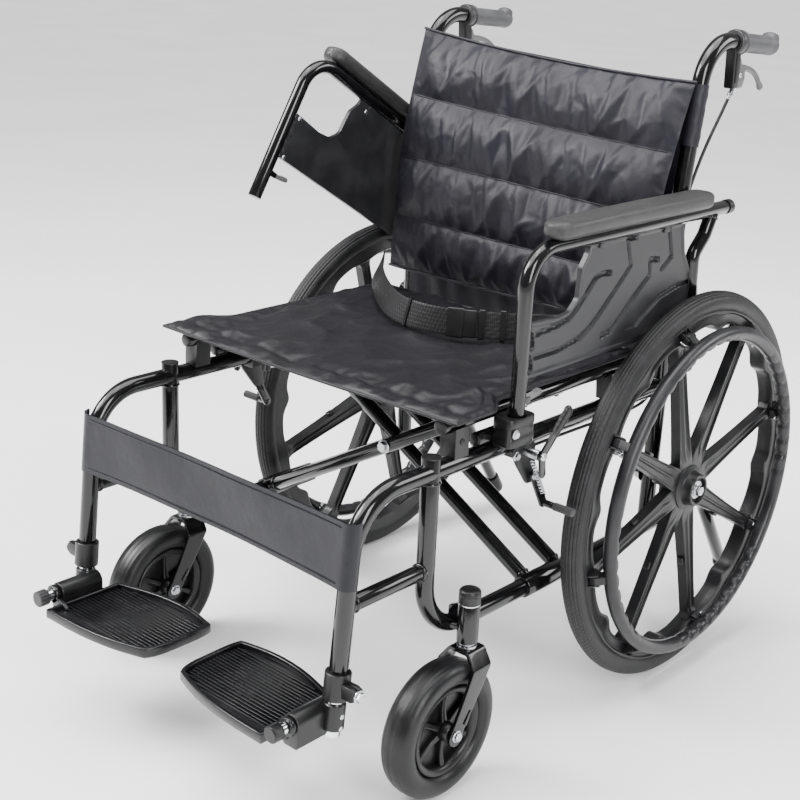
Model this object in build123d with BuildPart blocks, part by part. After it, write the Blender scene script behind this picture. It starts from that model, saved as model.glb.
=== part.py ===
from build123d import *
import os
from math import atan2, degrees, hypot, radians, tan

# A folding manual wheelchair. Millimetres, +Z up, the user looks along -Y and the user's left is +X.
# The model is laid out about the rear axle (y = 0 there, z = 0 on the ground). save() then moves it to
# the frame's origin, which is the middle of the chair's box on the ground.

# ---------------------------------------------------------------- driving sizes
FRAME_X = 256.0  # plane of the side frame
TUBE_R = 12.5
WALL = 1.6
ARM_R = 10.5
SIDE_GAP = 4.0  # cane to armrest tube, and armrest tube to tyre
TYRE_SECTION_R = 17.5
ARM_X = FRAME_X + TUBE_R + SIDE_GAP + ARM_R
WHEEL_X = ARM_X + ARM_R + SIDE_GAP + TYRE_SECTION_R  # centre plane of a rear wheel
WHEEL_R = 305.0  # rear tyre, 24 inch
AXLE_Z = WHEEL_R
RIM_OUTER_R = WHEEL_R - 29
RIM_INNER_R = RIM_OUTER_R - 19
RIM_W = 27.0
SPOKES = 8
SPOKE_TURN = 15.0  # first spoke, degrees up from straight back
SPOKE_ROOT_W = 40.0
SPOKE_WAIST_W = 22.0
SPOKE_WAIST_R = RIM_INNER_R - 107
SPOKE_TIP_W = 34.0
SPOKE_T = 20.0
HUB_R = 26.0
HUB_IN_X = WHEEL_X - 23
HUB_OUT_X = WHEEL_X + 29
HANDRIM_R = RIM_INNER_R - 9
HANDRIM_TUBE_R = 11.0
HANDRIM_X = WHEEL_X + 37
BEARING_R = 14.0
BEARING_T = 8.0
AXLE_R = 6.35
RUNNING = 0.06  # radial clearance of a shaft in its bore
GAP = 0.4  # clearance between pieces that move past each other

TOP_Z = 453.0
LOW_Z = 219.0
POST_Y = -536.0
POST_TOP_Z = TOP_Z + 21
POST_BEND_R = 80.0
HANGER_BEND_R = 78.0
HANGER_TOP_Y = -671.0  # where the leg's line meets the top tube's
HANGER_FOOT_Z = 199.0
LEG_LEAN = 22.0 / 231.0  # forward per unit of drop
LOW_TUBE_END_Y = 132.0
CANE_BEND_Z = 750.0
CANE_LEAN = 30.0 / 216.0
HANDLE_Z = 966.0  # where the cane's line meets the handle's
HANDLE_END_Y = 224.0
HANDLE_DROP = 15.5
CANE_BEND_R = 68.0
TIPPER_BEND = (172.0, 55.0)  # where it turns down, and the bend's radius
TIPPER_FOOT = (279.0, 60.0)
STRUT_Z = 318.0
STRUT_R = 11.0

RAIL_X = FRAME_X - 8
RAIL_Z = TOP_Z + 52
RAIL_R = 10.0
RAIL_FRONT_Y = -512.0
RAIL_BACK_Y = -78.0
RAIL_MIDDLE_Y = (RAIL_FRONT_Y + RAIL_BACK_Y) / 2
CRADLE_INSET = 26.0  # from the front of the rail to the first cradle
CRADLE_BACK_INSET = 58.0
CRADLE_W = 28.0
BRACE_R = 11.0
BRACE_A_YS = (-302.0, -229.0)
BRACE_PITCH = 26.0  # brace B's tubes stand this far in front of brace A's
SLEEVE_WALL = 3.0
BOLT_R = 5.0

SWIVEL_X = FRAME_X + 32
SWIVEL_Y = -480.0
CASTER_R = 97.0
CASTER_W = 48.0
CASTER_TRAIL = 50.0
CASTER_RIM_R = 62.0
CASTER_HUB_R = 13.0
BARREL_R = 17.0
BARREL_Z = (207.0, 278.0)
STEM_R = 6.0
CROWN_Z = (192.0, 202.0)
FORK_T = 5.0
CASTER_BOLT_R = 4.0

ARM_POST_Y = -400.0
ARM_FOOT_Z = TOP_Z + 26
ARM_TOP_Z = ARM_FOOT_Z + 243
ARM_BEND_R = 52.0
ARM_BACK_Y = 95.0
ARM_PIVOT_Y = 20.0
ARM_PIVOT_Z = TOP_Z + 37
ARM_RAISED = 30.7  # how far the right arm stands raised, degrees
ARM_PIN_R = 4.0
PAD_X = (FRAME_X + TUBE_R + 1, ARM_X + 30)
PAD_Y = (-368.0, 15.0)
PAD_T = 27.0
PANEL_T = 6.0
SOCKET_X = (FRAME_X + 6, ARM_X + 14)
SOCKET_Y = (ARM_POST_Y - 28, ARM_POST_Y + 28)
SOCKET_Z = (TOP_Z + 13, TOP_Z + 52)
SOCKET_PLAY = 1.4
GUIDE_R = 9.5
GUIDE_Z = TOP_Z + 23
GUIDE_Y = (ARM_POST_Y - 50, ARM_POST_Y + 48)
LATCH_Z = ARM_FOOT_Z + 45
LATCH_Y = ARM_POST_Y + ARM_R + 4.5
LATCH_LENGTH = 30.0
LATCH_T = 8.0
LATCH_PIN_R = 2.0

SLIDE_R = TUBE_R - WALL - 0.1
SLIDE_FOOT_Z = 147.0
SLIDE_TOP_Z = 300.0
PIN_X = FRAME_X - 16  # footplate hinge pin
PIN_Z = 178.0
PIN_R = 6.0
HOUSING_R = 14.0
HOUSING_BOTTOM_Z = 146.0
HOUSING_FRONT_Y = -757.0
FOOT_FRONT_Y = -790.0
BOSS_BACK_Y = -765.0
PLATE_INNER_X = 28.0
PLATE_OUTER_X = PIN_X - 18
PLATE_Z = (156.0, 163.0)
PLATE_RIM_H = 7.0
PLATE_RIBS = 17
PLATE_RIB_PITCH = 6.2

LOCK_PLATE_X = (FRAME_X + TUBE_R + 0.5, FRAME_X + TUBE_R + 5.5)
LOCK_X = (SOCKET_X[1] + 4, SOCKET_X[1] + 9)  # hand lever
LOCK_PIVOT = (-365.0, TOP_Z - 9)
LOCK_TIP = (-307.0, TOP_Z + 48)
SHOE_ARM_X = (LOCK_PLATE_X[1] + 2, LOCK_PLATE_X[1] + 7)
SHOE_BAR = (-WHEEL_R - 13, AXLE_Z + 52)
SHOE_PIVOT = (SHOE_BAR[0] - 27, SHOE_BAR[1] + 48)
SHOE_BAR_R = 6.0
SHOE_BAR_END_X = WHEEL_X + 16
LOCK_PIN_R = 4.0
CABLE_STOP_X = FRAME_X - 8
CABLE_STOP_Y = -344.0

GRIP_R = TUBE_R + 2.5
GRIP_FLANGE = 2.0
GRIP_LENGTH = 112.0
BRAKE_PIVOT = (120.0, HANDLE_Z - 54)
CABLE_R = 2.5

BACK_HALF_W = FRAME_X + 6
BACK_Z = (552.0, HANDLE_Z - 25)
SEAT_HALF_W = RAIL_X + 14
SEAT_Y = (-520.0, -76.0)
SEAT_EAR = (24.0, -525.0, -430.0)  # how far the front corners stand out, and from where to where
SEAT_Z = (RAIL_Z + RAIL_R + GAP, RAIL_Z + 23)
STRAP_Z = (TOP_Z - 110, TOP_Z - 24)
STRAP_T = 3.0
BELT_Y = (-150.0, -112.0)
BELT_T = 3.0
BUCKLE_X = (-150.0, -86.0)
BUCKLE_T = 14.0

AXLE_Y = -(FOOT_FRONT_Y + WHEEL_R) / 2  # the rear axle, in the frame of the finished model
TO_FRAME = Location((0, AXLE_Y, 0))

os.makedirs("parts", exist_ok=True)


# ---------------------------------------------------------------- helpers
def save(name, piece):
    """Label a piece and write its file, in the finished model's frame."""
    placed = piece.moved(TO_FRAME)
    placed.label = name
    export_step(placed, f"parts/{name}.step")


def save_pair(name, piece, right=None):
    """Write the left piece and its mirror image. right is given where the right one stands differently."""
    save(f"{name}_left", piece)
    save(f"{name}_right", right if right is not None else mirror(piece, about=Plane.YZ))


def bent(points, bends, radius, wall=None):
    """A round bar along straight runs joined by arcs, or a tube where a wall is given."""
    with BuildPart() as bar:
        with BuildLine() as path:
            if bends:
                FilletPolyline(*points, radius=bends)
            else:
                Polyline(*points)
        with BuildSketch(Plane(origin=path.line @ 0, z_dir=path.line % 0)):
            Circle(radius)
            if wall:
                Circle(radius - wall, mode=Mode.SUBTRACT)
        sweep(path=path.line)
    return bar.part


def rod(start, end, radius, wall=None):
    """A straight round bar or tube from one point to another."""
    axis = Vector(*end) - Vector(*start)
    with BuildPart() as bar:
        with BuildSketch(Plane(origin=start, z_dir=axis)):
            Circle(radius)
            if wall:
                Circle(radius - wall, mode=Mode.SUBTRACT)
        extrude(amount=axis.length)
    return bar.part


def block(x, y, z, edge=0.0):
    """A box between two x, two y and two z, with its edges rounded where asked."""
    with BuildPart() as box:
        with Locations(((x[0] + x[1]) / 2, (y[0] + y[1]) / 2, (z[0] + z[1]) / 2)):
            Box(abs(x[1] - x[0]), abs(y[1] - y[0]), abs(z[1] - z[0]))
        if edge:
            fillet(box.edges(), edge)
    return box.part


def plate(points, x):
    """A flat plate between two x, with its outline given as (y, z) points."""
    with BuildPart() as flat:
        with BuildSketch(Plane.YZ.offset(x[0])):
            with BuildLine():
                Polyline(*points, close=True)
            make_face()
        extrude(amount=x[1] - x[0])
    return flat.part


def link(start, end, width, x):
    """A flat bar between two x with round ends about two (y, z) points."""
    run = Vector(end[0] - start[0], end[1] - start[1])
    middle = ((start[0] + end[0]) / 2, (start[1] + end[1]) / 2)
    with BuildPart() as bar:
        with BuildSketch(Plane.YZ.offset(x[0])):
            with Locations(Location((*middle, 0), (0, 0, degrees(atan2(run.Y, run.X))))):
                SlotCenterToCenter(run.length, width)
        extrude(amount=x[1] - x[0])
    return bar.part


def joined(pieces, cut=()):
    """One part from several pieces, with the cut pieces taken away from the whole."""
    with BuildPart() as whole:
        for piece in pieces:
            add(piece)
        for piece in cut:
            add(piece, mode=Mode.SUBTRACT)
    return whole.part


def leg_y(z):
    """Where the centre line of the hanger's leg stands at a height."""
    return HANGER_TOP_Y - (TOP_Z - z) * LEG_LEAN


# ---------------------------------------------------------------- side frame
post_points = [
    (FRAME_X, POST_Y, POST_TOP_Z),
    (FRAME_X, POST_Y, LOW_Z),
    (FRAME_X, LOW_TUBE_END_Y, LOW_Z),
]
lower_tube = bent(post_points, POST_BEND_R, TUBE_R, WALL)
lower_solid = bent(post_points, POST_BEND_R, TUBE_R)

cane_points = [
    (FRAME_X, 0, LOW_Z),
    (FRAME_X, 0, CANE_BEND_Z),
    (FRAME_X, (HANDLE_Z - CANE_BEND_Z) * CANE_LEAN, HANDLE_Z),
    (FRAME_X, HANDLE_END_Y, HANDLE_Z - HANDLE_DROP),
]
cane_solid = bent(cane_points, (200.0, CANE_BEND_R), TUBE_R)
axle_hole = rod((FRAME_X - 20, 0, AXLE_Z), (FRAME_X + 20, 0, AXLE_Z), AXLE_R)
cane = joined([bent(cane_points, (200.0, CANE_BEND_R), TUBE_R, WALL)], [lower_solid, axle_hole])

hanger_points = [
    (FRAME_X, 0, TOP_Z),
    (FRAME_X, HANGER_TOP_Y, TOP_Z),
    (FRAME_X, leg_y(HANGER_FOOT_Z), HANGER_FOOT_Z),
]
upper_solid = bent(hanger_points, HANGER_BEND_R, TUBE_R)
upper_tube = joined([bent(hanger_points, HANGER_BEND_R, TUBE_R, WALL)], [lower_solid, cane_solid])

save_pair("lower_tube", lower_tube)
save_pair("upper_tube", upper_tube)
save_pair("cane", cane)

# ---------------------------------------------------------------- fittings welded to the side frame
strut = joined(
    [rod((FRAME_X, leg_y(STRUT_Z), STRUT_Z), (FRAME_X, POST_Y, STRUT_Z), STRUT_R, WALL)],
    [upper_solid, lower_solid],
)
guide_web = block((FRAME_X - 3, FRAME_X + 3), (GUIDE_Y[0] + 20, GUIDE_Y[0] + 60), (TOP_Z + 8, GUIDE_Z))
guide_rod = rod((FRAME_X, GUIDE_Y[0], GUIDE_Z), (FRAME_X, GUIDE_Y[1], GUIDE_Z), GUIDE_R)
guide_bore = rod((FRAME_X, GUIDE_Y[0] + 6, GUIDE_Z), (FRAME_X, GUIDE_Y[1], GUIDE_Z), GUIDE_R - WALL)
guide_tube = joined([guide_rod, guide_web], [guide_bore, upper_solid])

with BuildPart() as barrel:
    with BuildSketch(Plane.XZ.offset(-SWIVEL_Y)):
        with BuildLine():
            Polyline(
                (SWIVEL_X + STEM_R + RUNNING, BARREL_Z[0]),
                (SWIVEL_X + BARREL_R, BARREL_Z[0]),
                (SWIVEL_X + BARREL_R, BARREL_Z[1]),
                (SWIVEL_X + BARREL_R - 2, BARREL_Z[1] + 5),
                (SWIVEL_X, BARREL_Z[1] + 6),
                (SWIVEL_X, BARREL_Z[1]),
                (SWIVEL_X + STEM_R + RUNNING, BARREL_Z[1]),
                (SWIVEL_X + STEM_R + RUNNING, BARREL_Z[1] - 12),
                (SWIVEL_X + BARREL_R - 3, BARREL_Z[1] - 12),
                (SWIVEL_X + BARREL_R - 3, BARREL_Z[0] + 12),
                (SWIVEL_X + STEM_R + RUNNING, BARREL_Z[0] + 12),
                close=True,
            )
        make_face()
    revolve(axis=Axis((SWIVEL_X, SWIVEL_Y, 0), (0, 0, 1)))
barrel_solid = rod((SWIVEL_X, SWIVEL_Y, BARREL_Z[0]), (SWIVEL_X, SWIVEL_Y, BARREL_Z[1]), BARREL_R)
gusset = joined(
    [
        block((FRAME_X, SWIVEL_X), (SWIVEL_Y - 5, SWIVEL_Y + 5), (LOW_Z + 4, LOW_Z + 44)),
        block((FRAME_X, SWIVEL_X), (SWIVEL_Y - 14, SWIVEL_Y + 14), (LOW_Z + 4, LOW_Z + 12)),
    ],
    [lower_solid, barrel_solid],
)
barrel_and_gusset = joined([barrel.part, gusset])

collar_foot = (FRAME_X, leg_y(HANGER_FOOT_Z - 2), HANGER_FOOT_Z - 2)
collar_top = (FRAME_X, leg_y(HANGER_FOOT_Z + 34), HANGER_FOOT_Z + 34)
lug_y = leg_y(HANGER_FOOT_Z + 14)
collar = joined(
    [
        rod(collar_foot, collar_top, TUBE_R + 4),
        block((FRAME_X + 8, FRAME_X + 36), (lug_y - 8, lug_y + 8), (HANGER_FOOT_Z + 4, HANGER_FOOT_Z + 24)),
    ],
    [upper_solid, rod((FRAME_X, leg_y(100), 100), (FRAME_X, leg_y(SLIDE_TOP_Z), SLIDE_TOP_Z), TUBE_R)],
)
collar_bolt = rod(
    (FRAME_X + 36, lug_y, HANGER_FOOT_Z + 14), (FRAME_X + 44, lug_y, HANGER_FOOT_Z + 14), 6.5
)

tipper_points = [
    (FRAME_X, 60, LOW_Z),
    (FRAME_X, TIPPER_BEND[0], LOW_Z),
    (FRAME_X, *TIPPER_FOOT),
]
tipper = bent(tipper_points, TIPPER_BEND[1], TUBE_R - WALL, WALL)
tipper_foot = Vector(*tipper_points[-1])
tipper_run = (tipper_foot - Vector(*tipper_points[-2])).normalized()
tipper_tip = rod(tuple(tipper_foot), tuple(tipper_foot + tipper_run * 26), TUBE_R + 1)


def cradle(y):
    """A plastic saddle on the top tube that the seat rail comes down into."""
    body = block((RAIL_X - 8, FRAME_X + 8), (y - CRADLE_W / 2, y + CRADLE_W / 2), (TOP_Z + 6, RAIL_Z - 2))
    rail = rod((RAIL_X, y - CRADLE_W, RAIL_Z), (RAIL_X, y + CRADLE_W, RAIL_Z), RAIL_R + GAP)
    return joined([body], [rail, upper_solid])


arm_bracket = joined(
    [
        block(
            (FRAME_X, ARM_X - ARM_R - 2.5),
            (0, ARM_PIVOT_Y + 9),
            (ARM_PIVOT_Z - 12, ARM_PIVOT_Z + 12),
        ),
        rod(
            (FRAME_X + 10, ARM_PIVOT_Y, ARM_PIVOT_Z),
            (ARM_X - ARM_R - GAP, ARM_PIVOT_Y, ARM_PIVOT_Z),
            9,
        ),
        rod((FRAME_X + 10, ARM_PIVOT_Y, ARM_PIVOT_Z), (ARM_X + 13, ARM_PIVOT_Y, ARM_PIVOT_Z), ARM_PIN_R),
    ],
    [cane_solid],
)
fittings = joined(
    [
        strut,
        guide_tube,
        barrel_and_gusset,
        collar,
        collar_bolt,
        tipper,
        tipper_tip,
        cradle(RAIL_FRONT_Y + CRADLE_INSET),
        cradle(RAIL_BACK_Y - CRADLE_BACK_INSET),
        arm_bracket,
    ]
)
save_pair("frame_fittings", fittings)

# ---------------------------------------------------------------- armrest socket
arm_post_bore = rod(
    (ARM_X, ARM_POST_Y, ARM_FOOT_Z - GAP), (ARM_X, ARM_POST_Y, SOCKET_Z[1] + 10), ARM_R + SOCKET_PLAY
)
guide_outline = rod((FRAME_X, GUIDE_Y[0], GUIDE_Z), (FRAME_X, GUIDE_Y[1], GUIDE_Z), GUIDE_R)
socket = joined([block(SOCKET_X, SOCKET_Y, SOCKET_Z, 4)], [arm_post_bore, guide_outline, upper_solid])
save_pair("armrest_socket", socket)

# ---------------------------------------------------------------- rear axle and bearings
nut_x = FRAME_X - TUBE_R
with BuildPart() as axle:
    with BuildSketch(Plane.YZ.offset(nut_x - 12)):
        with Locations((0, AXLE_Z)):
            RegularPolygon(10, 6)
    extrude(amount=12)
    with BuildSketch(Plane.YZ.offset(nut_x - 4)):
        with Locations((0, AXLE_Z)):
            Circle(AXLE_R)
    extrude(amount=HUB_OUT_X + 1 - nut_x + 4)
    with BuildSketch(Plane.YZ.offset(FRAME_X)):
        with Locations((0, AXLE_Z)):
            Circle(11)
    extrude(amount=HUB_IN_X - GAP - FRAME_X)
    with BuildSketch(Plane.YZ.offset(HUB_OUT_X + GAP)):
        with Locations((0, AXLE_Z)):
            Circle(10)
    extrude(amount=5)
    add(
        joined([cane_solid], [axle_hole]),
        mode=Mode.SUBTRACT,
    )
save_pair("rear_axle", axle.part)

bearing_xs = (HUB_IN_X + 4, HUB_OUT_X - 4 - BEARING_T)
bearings = joined(
    [
        joined(
            [rod((x, 0, AXLE_Z), (x + BEARING_T, 0, AXLE_Z), BEARING_R)],
            [rod((x - 1, 0, AXLE_Z), (x + BEARING_T + 1, 0, AXLE_Z), AXLE_R + RUNNING)],
        )
        for x in bearing_xs
    ]
)
save_pair("wheel_bearings", bearings)

# ---------------------------------------------------------------- rear wheel
WHEEL_FACE = Plane(origin=(WHEEL_X, 0, AXLE_Z), x_dir=(0, 1, 0), z_dir=(1, 0, 0))


def about_axle(x, radius):
    """A round bar on the wheel's axis between two x."""
    return rod((x[0], 0, AXLE_Z), (x[1], 0, AXLE_Z), radius)


def spoke():
    """The outline of one spoke on the wheel's face: wide at hub and rim, narrow between them."""
    with BuildSketch(mode=Mode.PRIVATE) as outline:
        with BuildLine():
            left = ThreePointArc(
                (HUB_R - 6, SPOKE_ROOT_W / 2),
                (SPOKE_WAIST_R, SPOKE_WAIST_W / 2),
                (RIM_INNER_R + 6, SPOKE_TIP_W / 2),
            )
            right = ThreePointArc(
                (HUB_R - 6, -SPOKE_ROOT_W / 2),
                (SPOKE_WAIST_R, -SPOKE_WAIST_W / 2),
                (RIM_INNER_R + 6, -SPOKE_TIP_W / 2),
            )
            Line(left @ 0, right @ 0)
            Line(left @ 1, right @ 1)
        make_face()
    return outline.sketch


with BuildPart() as wheel:
    with BuildSketch(WHEEL_FACE.offset(-RIM_W / 2)):
        Circle(RIM_OUTER_R)
        Circle(RIM_INNER_R, mode=Mode.SUBTRACT)
    extrude(amount=RIM_W)
    with BuildSketch(WHEEL_FACE.offset(-SPOKE_T / 2)):
        with PolarLocations(0, SPOKES, start_angle=SPOKE_TURN):
            add(spoke())
    extrude(amount=SPOKE_T)
    add(about_axle((HUB_IN_X, HUB_OUT_X), HUB_R + 8))
    for face in (WHEEL_FACE.offset(-SPOKE_T / 2 - 1), WHEEL_FACE.offset(SPOKE_T / 2 - 5)):
        with BuildSketch(face):
            with PolarLocations(0, SPOKES, start_angle=SPOKE_TURN):
                with Locations(((RIM_INNER_R + 23) / 2, 0)):
                    SlotOverall(SPOKE_WAIST_R, 9)
        extrude(amount=6, mode=Mode.SUBTRACT)
    add(about_axle((HUB_IN_X - 1, HUB_OUT_X + 1), AXLE_R + RUNNING), mode=Mode.SUBTRACT)
    for x in bearing_xs:
        add(about_axle((x, x + BEARING_T), BEARING_R), mode=Mode.SUBTRACT)
save_pair("rear_wheel", wheel.part)

TYRE_MID_R = WHEEL_R - TYRE_SECTION_R
with BuildPart() as tyre:
    with BuildSketch(Plane.XY.offset(AXLE_Z)):
        with Locations((WHEEL_X, TYRE_MID_R)):
            Circle(TYRE_SECTION_R)
        with Locations((WHEEL_X, RIM_OUTER_R - 10)):
            Rectangle(60, 20, mode=Mode.SUBTRACT)
    revolve(axis=Axis((WHEEL_X, 0, AXLE_Z), (1, 0, 0)))
save_pair("rear_tyre", tyre.part)

with BuildPart() as handrim:
    with BuildSketch(Plane.XY.offset(AXLE_Z)):
        with Locations((HANDRIM_X, HANDRIM_R)):
            Circle(HANDRIM_TUBE_R)
    revolve(axis=Axis((WHEEL_X, 0, AXLE_Z), (1, 0, 0)))
    with BuildSketch(WHEEL_FACE.offset(RIM_W / 2)):
        with PolarLocations((RIM_INNER_R + RIM_OUTER_R) / 2 - 5, SPOKES, start_angle=SPOKE_TURN):
            Rectangle(18, 16)
    extrude(amount=HANDRIM_X - WHEEL_X - RIM_W / 2)
save_pair("handrim", handrim.part)

# ---------------------------------------------------------------- caster
caster_y = SWIVEL_Y - CASTER_TRAIL
fork_gap = CASTER_W / 2 + 2.5
leg_x = (SWIVEL_X + fork_gap, SWIVEL_X + fork_gap + FORK_T)
other_leg_x = (SWIVEL_X - fork_gap - FORK_T, SWIVEL_X - fork_gap)
fork_leg_outline = [
    (SWIVEL_Y - 17, CROWN_Z[1]),
    (SWIVEL_Y + 17, CROWN_Z[1]),
    (SWIVEL_Y + 12, CROWN_Z[0] - 14),
    (caster_y + 12, CASTER_R - 5),
    (caster_y + 4, CASTER_R - 13),
    (caster_y - 8, CASTER_R - 12),
    (caster_y - 13, CASTER_R - 1),
    (SWIVEL_Y - 19, CROWN_Z[0] - 12),
]
with BuildPart() as fork:
    add(block((other_leg_x[0], leg_x[1]), (SWIVEL_Y - 17, SWIVEL_Y + 17), CROWN_Z))
    add(plate(fork_leg_outline, leg_x))
    add(plate(fork_leg_outline, other_leg_x))
    add(rod((SWIVEL_X, SWIVEL_Y, CROWN_Z[0]), (SWIVEL_X, SWIVEL_Y, BARREL_Z[0] - GAP), 14))
    add(rod((SWIVEL_X, SWIVEL_Y, CROWN_Z[0]), (SWIVEL_X, SWIVEL_Y, BARREL_Z[1] - 1), STEM_R))
    add(rod((other_leg_x[0] - 5, caster_y, CASTER_R), (leg_x[1] + 5, caster_y, CASTER_R), CASTER_BOLT_R))
    add(rod((other_leg_x[0] - 5, caster_y, CASTER_R), (other_leg_x[0], caster_y, CASTER_R), 7))
    add(rod((leg_x[1], caster_y, CASTER_R), (leg_x[1] + 5, caster_y, CASTER_R), 7))
save_pair("caster_fork", fork.part)

CASTER_FACE = Plane(origin=(SWIVEL_X, caster_y, CASTER_R), x_dir=(0, 1, 0), z_dir=(1, 0, 0))
with BuildPart() as caster_hub:
    with BuildSketch(CASTER_FACE.offset(-15)):
        Circle(CASTER_RIM_R)
        Circle(CASTER_RIM_R - 8, mode=Mode.SUBTRACT)
    extrude(amount=30)
    with BuildSketch(CASTER_FACE.offset(-8)):
        with PolarLocations((CASTER_RIM_R - 3) / 2 + 3, 6, start_angle=30):
            Rectangle(CASTER_RIM_R - 13, 9)
    extrude(amount=16)
    with BuildSketch(CASTER_FACE.offset(-CASTER_W / 2 - 2)):
        Circle(CASTER_HUB_R)
    extrude(amount=CASTER_W + 4)
    with BuildSketch(CASTER_FACE.offset(-CASTER_W)):
        Circle(CASTER_BOLT_R + RUNNING)
    extrude(amount=2 * CASTER_W, mode=Mode.SUBTRACT)
save_pair("caster_hub", caster_hub.part)

with BuildPart() as caster_tyre:
    with BuildSketch(Plane(origin=(SWIVEL_X, caster_y, CASTER_R), x_dir=(1, 0, 0), z_dir=(0, 0, 1))):
        with Locations((0, (CASTER_R + CASTER_RIM_R) / 2)):
            RectangleRounded(CASTER_W, CASTER_R - CASTER_RIM_R, 14)
        with Locations((0, CASTER_RIM_R + 5)):
            Rectangle(30, 10)
    revolve(axis=Axis((SWIVEL_X, caster_y, CASTER_R), (1, 0, 0)))
save_pair("caster_tyre", caster_tyre.part)

# ---------------------------------------------------------------- folding cross brace and seat rails
BRACE_B_YS = tuple(y - BRACE_PITCH for y in BRACE_A_YS)
CROSS_Z = LOW_Z + (RAIL_Z - LOW_Z) * FRAME_X / (FRAME_X + RAIL_X)


def brace(side, ys):
    """A sleeve on one side's lower tube, tubes rising to the other side's seat rail, and that rail."""
    foot_x = side * FRAME_X
    rail_x = -side * RAIL_X
    sleeve_r = TUBE_R + RUNNING + SLEEVE_WALL
    sleeve_y = (min(ys) - 18, max(ys) + 18)
    foot_bore = rod((foot_x, sleeve_y[0], LOW_Z), (foot_x, sleeve_y[1], LOW_Z), TUBE_R + RUNNING)
    bolt_bore = rod((0, ys[0] - 100, CROSS_Z), (0, ys[0] + 200, CROSS_Z), BOLT_R + RUNNING)
    with BuildPart() as whole:
        add(rod((foot_x, sleeve_y[0], LOW_Z), (foot_x, sleeve_y[1], LOW_Z), sleeve_r))
        for y in ys:
            add(rod((foot_x, y, LOW_Z), (rail_x, y, RAIL_Z), BRACE_R, WALL))
            add(rod((0, y - BRACE_R, CROSS_Z), (0, y + BRACE_R, CROSS_Z), BOLT_R + 4))
        add(rod((rail_x, RAIL_FRONT_Y, RAIL_Z), (rail_x, RAIL_BACK_Y, RAIL_Z), RAIL_R))
        add(foot_bore, mode=Mode.SUBTRACT)
        add(bolt_bore, mode=Mode.SUBTRACT)
        for y in (RAIL_FRONT_Y + 8, RAIL_BACK_Y - 8):
            add(rod((rail_x, y, RAIL_Z), (rail_x, RAIL_MIDDLE_Y, RAIL_Z), RAIL_R - WALL), mode=Mode.SUBTRACT)
    return whole.part


bolt_y = (BRACE_B_YS[0] - BRACE_R - 7, BRACE_A_YS[1] + BRACE_R + 1)
centre_bolt = joined(
    [
        rod((0, bolt_y[0], CROSS_Z), (0, bolt_y[1], CROSS_Z), BOLT_R),
        rod((0, bolt_y[0], CROSS_Z), (0, bolt_y[0] + 6, CROSS_Z), BOLT_R + 4),
        rod((0, bolt_y[1], CROSS_Z), (0, bolt_y[1] + 8, CROSS_Z), BOLT_R + 4),
    ]
)
save("brace_a", joined([brace(1, BRACE_A_YS), centre_bolt]))
save("brace_b", brace(-1, BRACE_B_YS))

# ---------------------------------------------------------------- armrest
post_and_top = [
    (ARM_X, ARM_POST_Y, ARM_FOOT_Z),
    (ARM_X, ARM_POST_Y, ARM_TOP_Z),
    (ARM_X, ARM_BACK_Y, ARM_TOP_Z),
]
rear_leg = [
    (ARM_X, ARM_PIVOT_Y + 30, ARM_TOP_Z),
    (ARM_X, ARM_PIVOT_Y + 14, ARM_TOP_Z - 36),
    (ARM_X, ARM_PIVOT_Y - 13, ARM_TOP_Z - 62),
    (ARM_X, ARM_PIVOT_Y - 10, ARM_TOP_Z - 110),
    (ARM_X, ARM_PIVOT_Y, ARM_PIVOT_Z),
]
LEG_BENDS = (22.0, 22.0, 30.0)
arm_solid = bent(post_and_top, ARM_BEND_R, ARM_R)
arm_leg_solid = bent(rear_leg, LEG_BENDS, ARM_R)
eye_x = (ARM_X - ARM_R + 1, ARM_X + ARM_R - 1)
arm_eye = rod((eye_x[0], ARM_PIVOT_Y, ARM_PIVOT_Z), (eye_x[1], ARM_PIVOT_Y, ARM_PIVOT_Z), 12)
arm_pin_bore = rod(
    (eye_x[0] - 5, ARM_PIVOT_Y, ARM_PIVOT_Z), (eye_x[1] + 5, ARM_PIVOT_Y, ARM_PIVOT_Z), ARM_PIN_R + RUNNING
)
arm_frame = joined(
    [
        bent(post_and_top, ARM_BEND_R, ARM_R, WALL),
        joined([bent(rear_leg, LEG_BENDS, ARM_R, WALL), arm_eye], [arm_solid, arm_pin_bore]),
        rod((ARM_X, ARM_BACK_Y, ARM_TOP_Z), (ARM_X, ARM_BACK_Y + 5, ARM_TOP_Z), ARM_R + 0.5),
    ]
)

panel_outline = [
    (ARM_POST_Y + 4, ARM_TOP_Z - 168),
    (ARM_POST_Y + 4, ARM_TOP_Z - 94),
    (ARM_POST_Y + 70, ARM_TOP_Z - 98),
    (ARM_POST_Y + 96, ARM_TOP_Z - 94),
    (ARM_POST_Y + 112, ARM_TOP_Z - 80),
    (ARM_POST_Y + 116, ARM_TOP_Z - 42),
    (ARM_POST_Y + 104, ARM_TOP_Z - 22),
    (ARM_POST_Y + 104, ARM_TOP_Z),
    (ARM_PIVOT_Y - 54, ARM_TOP_Z),
    (ARM_PIVOT_Y - 42, ARM_TOP_Z - 54),
    (ARM_PIVOT_Y - 20, ARM_TOP_Z - 72),
    (ARM_PIVOT_Y - 8, ARM_TOP_Z - 82),
    (ARM_PIVOT_Y, ARM_TOP_Z - 168),
]
panel = joined(
    [plate(panel_outline, (ARM_X - PANEL_T / 2, ARM_X + PANEL_T / 2))], [arm_solid, arm_leg_solid]
)
pad = block(PAD_X, PAD_Y, (ARM_TOP_Z + ARM_R, ARM_TOP_Z + ARM_R + PAD_T), 9)

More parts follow.
